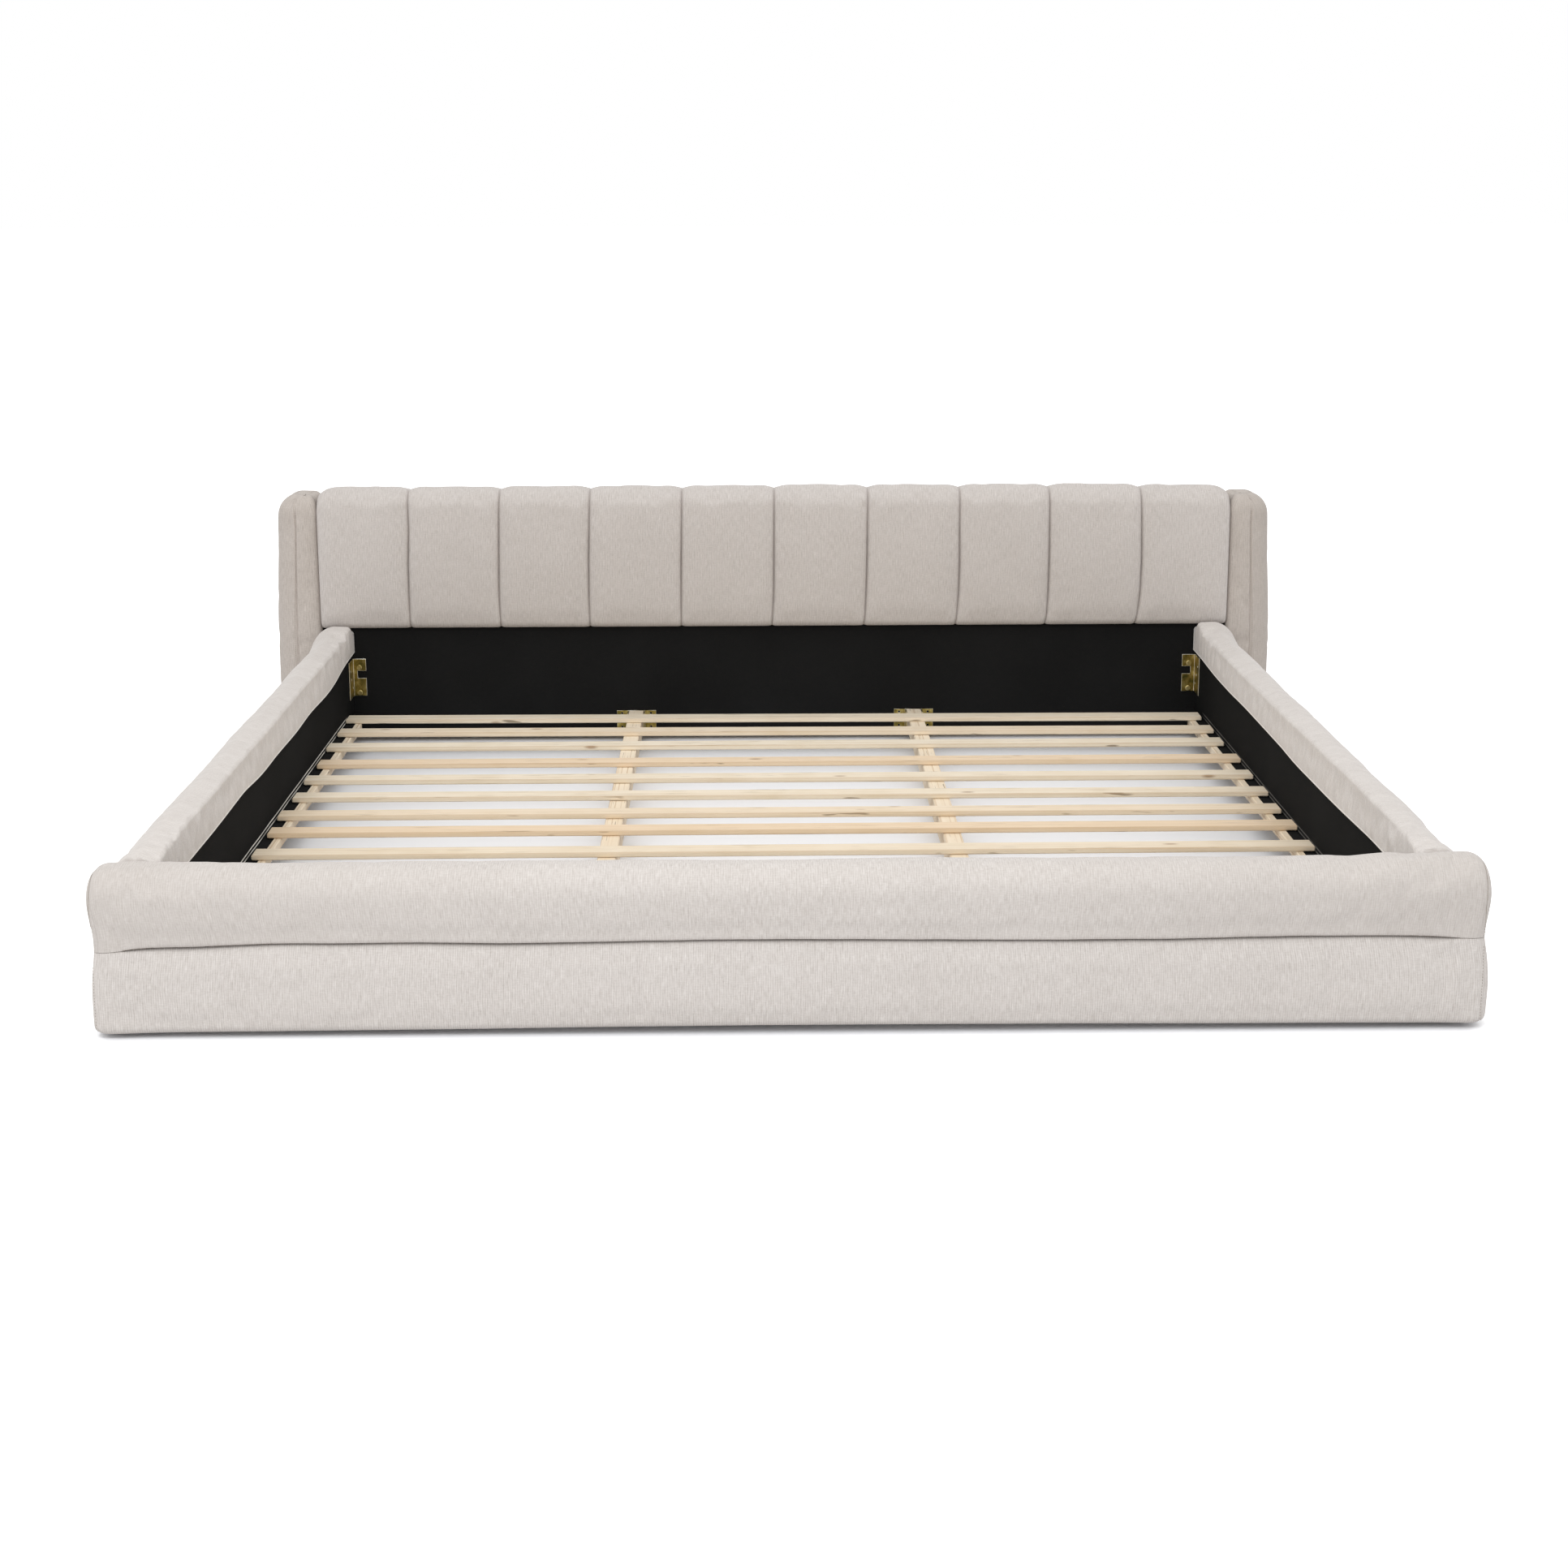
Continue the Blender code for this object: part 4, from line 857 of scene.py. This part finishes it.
def add_stitches(name, cover, rays):
    """A row of stitches along the points where rays meet cover, one short thread for each two neighbours."""
    tree = BVHTree.FromObject(cover, bpy.context.evaluated_depsgraph_get())
    hits = [tree.ray_cast(origin, direction)[:2] for origin, direction in rays]
    places = [(place, normal) for place, normal in hits if place is not None]
    bm = bmesh.new()
    for (place, normal), (following, _) in zip(places, places[1:]):
        along = (following - place).normalized()
        side = along.cross(normal).normalized()
        up = side.cross(along)
        spokes = [side * math.cos(math.pi * i / 3) + up * math.sin(math.pi * i / 3) for i in range(6)]
        rings = []
        for t in (0, 0.12, 0.5, 0.88, 1):
            lift = STITCH_RADIUS * (0.9 - 3.2 * (2 * t - 1) ** 4)
            centre = place + along * STITCH_LENGTH * t + up * lift
            rings.append([bm.verts.new(centre + spoke * STITCH_RADIUS) for spoke in spokes])
        for near, far in zip(rings, rings[1:]):
            bridge(bm, near, far)
        bm.faces.new(rings[0])
        bm.faces.new(rings[-1])
    bmesh.ops.recalc_face_normals(bm, faces=bm.faces)
    thread = new_object(name, bm)
    dress(thread, "sewing_thread")
    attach(thread, "bed_frame")


def add_foot_seams():
    """A stitched seam near each end of both rolls."""
    reach = FOOT_WIDTH / 2 - FOOT_END_ROUND * (1 - math.sin(math.radians(FOOT_SEAM_ANGLE)))
    turns = [Vector((0, math.sin(a), math.cos(a))) for a in map(math.radians, range(-150, 60, 3))]
    low, high = FOOT_BOTTOM + 0.010, FOLD_HEIGHT - 0.008
    count = int((high - low) / STITCH_PITCH)
    heights = [low + (high - low) * i / count for i in range(count)]
    for name, side in SIDES.items():
        centre = Vector((side * reach, FOOT_FACE - 0.040, 0.205))
        starts = [Vector((side * reach, FOOT_FACE - 0.3, z)) for z in heights]
        rays = {
            "upper": [(centre + away * 0.3, -away) for away in turns],
            "lower": [(start, Vector((0, 1, 0))) for start in starts],
        }
        for part in rays:
            roll = bpy.data.objects[f"{part}_foot_roll"]
            add_stitches(f"{name}_{part}_foot_seam_thread", roll, rays[part])


# Materials

def srgb(red, green, blue):
    """An sRGB colour, 0 to 255, in linear values."""
    shares = [value / 255 for value in (red, green, blue)]
    return tuple(s / 12.92 if s <= 0.04045 else ((s + 0.055) / 1.055) ** 2.4 for s in shares)


class Net:
    """The nodes of a material or world. An input is a socket, a number or a linear colour."""

    def __init__(self, owner):
        owner.use_nodes = True
        self.tree = owner.node_tree
        self.tree.nodes.clear()

    def add(self, kind, inputs=None, **settings):
        """Adds a node with its inputs, by name or number, and gives its outputs."""
        node = self.tree.nodes.new("ShaderNode" + kind)
        for key, value in settings.items():
            setattr(node, key, value)
        for key, value in (inputs or {}).items():
            socket = node.inputs[key]
            if isinstance(value, bpy.types.NodeSocket):
                self.tree.links.new(value, socket)
            else:
                socket.default_value = (*value, 1) if socket.type == "RGBA" else value
        return node.outputs

    def place(self):
        return self.add("TexCoord")["Object"]

    def apart(self, vector):
        return self.add("SeparateXYZ", {0: vector})

    def moved(self, vector, offset):
        return self.add("VectorMath", {0: vector, 1: offset}, operation="ADD")[0]

    def scaled(self, vector, scale):
        return self.add("Mapping", {"Vector": vector, "Scale": scale})[0]

    def noise(self, vector, scale, detail=2.0, rough=0.5, distortion=0.0):
        """Noise with a scale for each axis, or one for all."""
        where = self.scaled(vector, scale if isinstance(scale, tuple) else (scale,) * 3)
        inputs = {"Scale": 1.0, "Detail": detail, "Roughness": rough, "Distortion": distortion}
        return self.add("TexNoise", {"Vector": where, **inputs})["Fac"]

    def calc(self, operation, a, b=0.0):
        return self.add("Math", {0: a, 1: b}, operation=operation)[0]

    def times(self, a, b):
        return self.calc("MULTIPLY", a, b)

    def blend(self, a, b, share):
        """share of a and the rest of b."""
        return self.calc("ADD", self.times(a, share), self.times(b, 1 - share))

    def ramp(self, factor, *stops):
        """A colour ramp through stops of (place, colour)."""
        colour = self.add("ValToRGB", {"Fac": factor})["Color"]
        elements = colour.node.color_ramp.elements
        while len(elements) < len(stops):
            elements.new(0.5)
        for element, (place, stop) in zip(elements, stops):
            element.position = place
            element.color = (*stop, 1)
        return colour

    def span(self, value, low, high, to_low, to_high):
        """value from low to high turned into to_low to to_high, and held there."""
        inputs = {"Value": value, "From Min": low, "From Max": high, "To Min": to_low, "To Max": to_high}
        return self.add("MapRange", inputs)[0]

    def mix(self, factor, first, second):
        return self.add("Mix", {0: factor, 6: first, 7: second}, data_type="RGBA")[2]

    def stripe(self, value, middle, half, blur):
        """1 where value is within half of middle, with edges as soft as blur."""
        distance = self.calc("ABSOLUTE", self.calc("SUBTRACT", value, middle))
        return self.span(distance, half - blur, half + blur, 1, 0)

    def close(self, colour, roughness, height, distance, **inputs):
        """The shader and output, with a bump of height (0 to 1) times distance in metres."""
        relief = self.add("Bump", {"Strength": 1.0, "Distance": distance, "Height": height})[0]
        inputs = {key.replace("_", " "): value for key, value in inputs.items()}
        inputs.update({"Base Color": colour, "Roughness": roughness, "Normal": relief})
        self.add("OutputMaterial", {"Surface": self.add("BsdfPrincipled", inputs)[0]})


def material_net(name):
    return Net(bpy.data.materials.new(name))


def shade_of(net, kind, low, high, share):
    """How much a cloth is shaded, up to share: where it faces up, towards both ends or towards the right."""
    if kind == "up":
        value = net.apart(net.add("NewGeometry")["Normal"])["Z"]
    else:
        value = net.apart(net.place())["X"]
        if kind == "ends":
            value = net.calc("ABSOLUTE", value)
    return net.span(value, low, high, 0, share)


def fabric_material(name, light, dark, cloud_scale=(12, 12, 1), cloudy=0.06, ribs=0.11, shade=None):
    """Greige linen-look cloth: fine upright wales, cross threads with slubs, and a soft cloudiness."""
    net = material_net(name)
    weave = net.add("Attribute", attribute_name="weave")["Vector"]
    sway = net.times(net.noise(weave, (60, 22, 1)), 0.0030)
    bent = net.moved(weave, net.add("CombineXYZ", {"X": sway})[0])

    def wave(axis, scale):
        inputs = {"Vector": net.scaled(bent, scale), "Scale": 1.0}
        return net.add("TexWave", inputs, bands_direction=axis)["Fac"]

    fine_scales, slub_scales = ((620, 60, 1), (110, 620, 1)), ((420, 50, 1), (110, 430, 1))
    fine = net.blend(*(net.noise(weave, scale, 2.0, 0.6) for scale in fine_scales), 0.62)
    slubs = net.blend(*(net.noise(weave, scale, 2.0, 0.6) for scale in slub_scales), 0.66)
    threads = net.blend(fine, slubs, 0.6)
    pattern = net.blend(wave("X", (88, 0, 0)), wave("Y", (0, 195, 0)), 0.75)
    cloud = net.noise(weave, cloud_scale, 3.0)
    tone = net.calc("ADD", net.times(threads, 0.80), net.times(cloud, cloudy))
    tone = net.calc("ADD", tone, net.times(pattern, ribs))
    colour = net.mix(net.span(tone, 0.34, 0.66, 0, 1), dark, light)
    # Painted shade: the cloth is mixed towards its dark threads where shade says
    if shade:
        colour = net.mix(shade_of(net, *shade), colour, dark)
    rough = net.span(threads, 0.3, 0.7, 0.97, 0.86)
    height = net.blend(threads, pattern, 0.6)
    sheen = {"Specular_IOR_Level": 0.18, "Sheen_Weight": 0.12, "Sheen_Roughness": 0.5}
    net.close(colour, rough, height, 0.00055, **sheen)


def lining_material(name, pale):
    """Black stapled lining cloth with a faint fibre speckle.

    On the rails two patchy pale lines run near its lower edge, most on the left; light shows past it in the
    head corners.
    """
    net = material_net(name)
    where = net.place()
    fibre = net.noise(where, 900, 3.0, 0.7)
    tone = net.blend(fibre, net.noise(where, 5), 0.6)
    colour = net.ramp(tone, (0.30, srgb(21, 21, 21)), (0.72, srgb(32, 32, 32)))
    place = net.apart(where)
    if pale == "hem":
        height = net.calc("ADD", place["Z"], net.times(net.noise(where, 9), 0.002))
        lines = [net.stripe(height, middle, 0.0015, 0.0004) for middle in HEM_STRIPES]
        share = net.calc("MAXIMUM", *lines)
        leftward = net.span(place["X"], -0.5, 0.5, 0.95, 0.14)
        patches = net.span(net.noise(where, 24, 3.0), 0.35, 0.6, 0.8, 1)
        before_head = net.span(place["Y"], 0.86, 0.90, 1, 0)
        for limit in (patches, leftward, before_head):
            share = net.times(share, limit)
        colour = net.mix(share, colour, srgb(246, 242, 234))
    if pale == "corner":
        outwards = net.stripe(net.calc("ABSOLUTE", place["X"]), 0.9772, 0.0012, 0.0004)
        share = net.times(net.times(outwards, net.stripe(place["Z"], 0.150, 0.028, 0.008)), 0.45)
        colour = net.mix(share, colour, srgb(205, 205, 205))
    rough = net.span(fibre, 0.3, 0.7, 0.97, 0.85)
    net.close(colour, rough, fibre, 0.0003, Specular_IOR_Level=0.06)


def board_material():
    """Raw plywood and sawn timber, mostly hidden."""
    net = material_net("raw_board")
    grain = net.noise(net.place(), (9, 9, 160), 4.0, 0.6, 0.4)
    colour = net.ramp(grain, (0.25, (0.44, 0.30, 0.17)), (0.75, (0.70, 0.53, 0.34)))
    net.close(colour, net.span(grain, 0.2, 0.8, 0.85, 0.65), grain, 0.0004)


def pine_material(name, along_x, tint):
    """Planed softwood with grain lines along its length and small knots; tint is how orange, up to 1."""
    net = material_net(name)
    where = net.place()
    far = net.times(net.add("ObjectInfo")["Random"], 23.0)
    own = net.moved(where, net.add("CombineXYZ", {"X": far, "Y": far, "Z": far})[0])

    def lay(along, across, up):
        return (along, across, up) if along_x else (across, along, up)

    grain = net.noise(own, lay(2.2, 95.0, 95.0), 4.0, 0.55, 0.6)
    lines = net.noise(own, lay(1.1, 260.0, 200.0))
    cells = {"Vector": net.scaled(own, lay(5.5, 16.0, 16.0)), "Scale": 1.0}
    knots = net.add("TexVoronoi", cells)["Distance"]
    cracks = net.noise(own, lay(10.0, 420.0, 60.0))
    facing = net.apart(net.add("NewGeometry")["Normal"])
    arris = net.times(facing["Y"], facing["Z"])
    colour = net.ramp(
        net.blend(grain, net.noise(own, 14), 0.6),
        (0.28, srgb(222, 207, 180)),
        (0.50, srgb(236, 224, 203)),
        (0.75, srgb(243, 233, 214)),
    )
    for share, stain_and_shade in (
        (tint, (228, 190, 146)),
        (net.span(lines, 0.56, 0.72, 0.0, 0.36 if along_x else 0.70), (176, 140, 98)),
        (net.span(knots, 0.04, 0.10, 0.75, 0.0), (132, 92, 58)),
        (net.span(cracks, 0.665, 0.71, 0.0, 0.75), (84, 66, 46)),
        # Painted shade: a darker line on chamfers, set by which way they face
        (net.span(arris, -0.20, -0.42, 0.0, 0.45), (160, 128, 88)),
        # Painted shade: faces turned to the front a little darker
        (net.span(facing["Y"], -0.80, -0.95, 0.0, 0.12), (210, 182, 134)),
        # Painted shade: darker towards the foot end of the bed
        (net.span(net.apart(where)["Y"], 0.6, -0.8, 0, 0.40), (200, 172, 134)),
    ):
        colour = net.mix(share, colour, srgb(*stain_and_shade))
    rough = net.span(grain, 0.2, 0.8, 0.62, 0.44)
    net.close(colour, rough, net.calc("ADD", grain, lines), 0.00035, Specular_IOR_Level=0.35)


def zinc_material(name, dull, middle, bright):
    """Yellow passivated zinc: brassy, with an uneven bloom and fine scratches."""
    net = material_net(name)
    where = net.place()
    bloom = net.noise(where, (55, 55, 40), 3.0, 0.65)
    scratch = net.noise(where, (900, 900, 60), 3.0, 0.6)
    colour = net.ramp(bloom, (0.32, dull), (0.50, middle), (0.66, bright))
    net.close(colour, net.span(scratch, 0.3, 0.7, 0.26, 0.44), scratch, 0.00015, Metallic=1.0)


def plastic_material():
    """Moulded black plastic with a fine eggshell grain and scuffs."""
    net = material_net("black_plastic")
    where = net.place()
    scuffs = net.noise(where, 60, 4.0, 0.65)
    colour = net.ramp(scuffs, (0.35, srgb(26, 26, 27)), (0.75, srgb(48, 48, 50)))
    net.close(colour, net.span(scuffs, 0.3, 0.7, 0.45, 0.62), net.noise(where, 1500), 0.0001)


def thread_material():
    """Twisted sewing thread, painted a little darker than the cloth as shade on the stitches."""
    net = material_net("sewing_thread")
    twist = net.noise(net.place(), 2600)
    colour = net.ramp(twist, (0.3, srgb(128, 118, 106)), (0.7, srgb(160, 150, 138)))
    net.close(colour, net.span(twist, 0.3, 0.7, 0.85, 0.7), twist, 0.0001)


def bevel_and_highlight(node):
    """Rounds a CAD node's edges a little and paints a pale highlight on them."""
    node.data.materials.append(bpy.data.materials["edge_highlight_zinc"])
    node.modifiers.new("joined_corners", "WELD").merge_threshold = 0.00001
    bevel = node.modifiers.new("highlighted_bevel", "BEVEL")
    bevel.width = 0.0010
    bevel.material = 1
    bevel.segments = 2
    bevel.limit_method = "ANGLE"


def add_materials():
    for name, (light, dark, more) in FABRICS.items():
        fabric_material(name, srgb(*light), srgb(*dark), **more)
    for name, colours in ZINCS.items():
        zinc_material(name, *(srgb(*colour) for colour in colours))
    for name, pale in (("black_lining", None), ("black_rail_lining", "hem"), ("black_head_lining", "corner")):
        lining_material(name, pale)
    for tone, tint in PINE_TINTS.items():
        pine_material(f"pine_{tone}", tone != "along", tint)
    board_material()
    plastic_material()
    thread_material()


def dress_nodes():
    for part in frame["record"]["subparts"]:
        name, material = part["node"], SLOT_MATERIALS[part["material_slot"]]
        node = frame["nodes"][name]
        for ending, other in ENDING_MATERIALS.items():
            if name.endswith(ending):
                material = other
        if name.startswith("slat_"):
            material = "pine_" + SLAT_TONES.get(name, "pale")
        dress(node, material)
        if name.endswith("_bracket"):
            bevel_and_highlight(node)


# The stage

def seen_directly(net):
    """1 for what the camera sees, also in metal and through glass, and 0 for what only lights the object."""
    path = net.add("LightPath")
    seen = net.calc("MAXIMUM", path["Is Camera Ray"], path["Is Transmission Ray"])
    return net.calc("MAXIMUM", seen, path["Is Glossy Ray"])


def add_floor():
    """A pale plain floor, white to the camera where nothing shades it, with painted shade under the bed and
    just in front of it.
    """
    bm = bmesh.new()
    bmesh.ops.create_grid(bm, x_segments=2, y_segments=2, size=60)
    floor = new_object("floor", bm)
    net = material_net("floor_paint")
    place = net.apart(net.place())
    # Painted shade: the floor is duller to the camera under the bed and just in front of its footboard
    across, along = net.stripe(place["X"], 0, 1.075, 0.03), net.stripe(place["Y"], -0.04, 1.10, 0.035)
    under = net.times(across, along)
    seen = net.mix(under, (1.50, 1.50, 1.50), (0.98, 1.00, 1.04))
    paint = net.add("BsdfDiffuse", {"Color": net.mix(seen_directly(net), (0.76, 0.76, 0.77), seen)})
    net.add("OutputMaterial", {"Surface": paint[0]})
    dress(floor, "floor_paint")


def add_world():
    world = bpy.data.worlds.new("studio")
    bpy.context.scene.world = world
    net = Net(world)
    strength = net.span(seen_directly(net), 0, 1, 0.91, 1.0)
    sky = net.add("Background", {"Color": (1, 1, 1), "Strength": strength})
    net.add("OutputWorld", {"Surface": sky[0]})


def add_softbox(name, size, watts, location, target):
    light = bpy.data.lights.new(name, "AREA")
    light.shape = "RECTANGLE"
    light.size, light.size_y = size
    light.energy = watts
    box = bpy.data.objects.new(name, light)
    box.location = location
    box.rotation_euler = (Vector(target) - box.location).to_track_quat("-Z", "Y").to_euler()
    bpy.context.scene.collection.objects.link(box)


def add_camera():
    """The photograph's camera, worked out from the frame's straight edges."""
    lens, yaw, pitch, roll = 59.12, 0.0137, 0.2330, -0.0031
    forward = Vector((math.sin(yaw) * math.cos(pitch), math.cos(yaw) * math.cos(pitch), -math.sin(pitch)))
    right = Vector((math.cos(yaw), -math.sin(yaw), 0))
    up = right.cross(forward)
    rolled_right = right * math.cos(roll) + up * math.sin(roll)
    rolled_up = up * math.cos(roll) - right * math.sin(roll)
    data = bpy.data.cameras.new("camera")
    data.sensor_width = 36
    data.lens = lens
    data.clip_end = 200
    camera = bpy.data.objects.new("camera", data)
    turned = Matrix((rolled_right, rolled_up, -forward)).transposed().to_4x4()
    turned.translation = (-0.0603, -4.8824, 1.2897)
    camera.matrix_world = turned
    bpy.context.scene.collection.objects.link(camera)
    bpy.context.scene.camera = camera


add_camera()
add_materials()
add_pad()
for side_name, side_sign in SIDES.items():
    add_rail_cover(side_name, side_sign)
    add_wing(side_name, side_sign)
add_footboard()
add_foot_seams()
dress_nodes()
add_floor()
add_world()
add_softbox("front_softbox", (3.0, 2.4), 89, (-1.0, -4.4, 3.6), (0, -0.6, 0.2))
add_softbox("top_softbox", (3.2, 2.6), 20, (0.2, -0.7, 3.5), (0, -0.3, 0))
bpy.context.scene.view_settings.view_transform = "Standard"
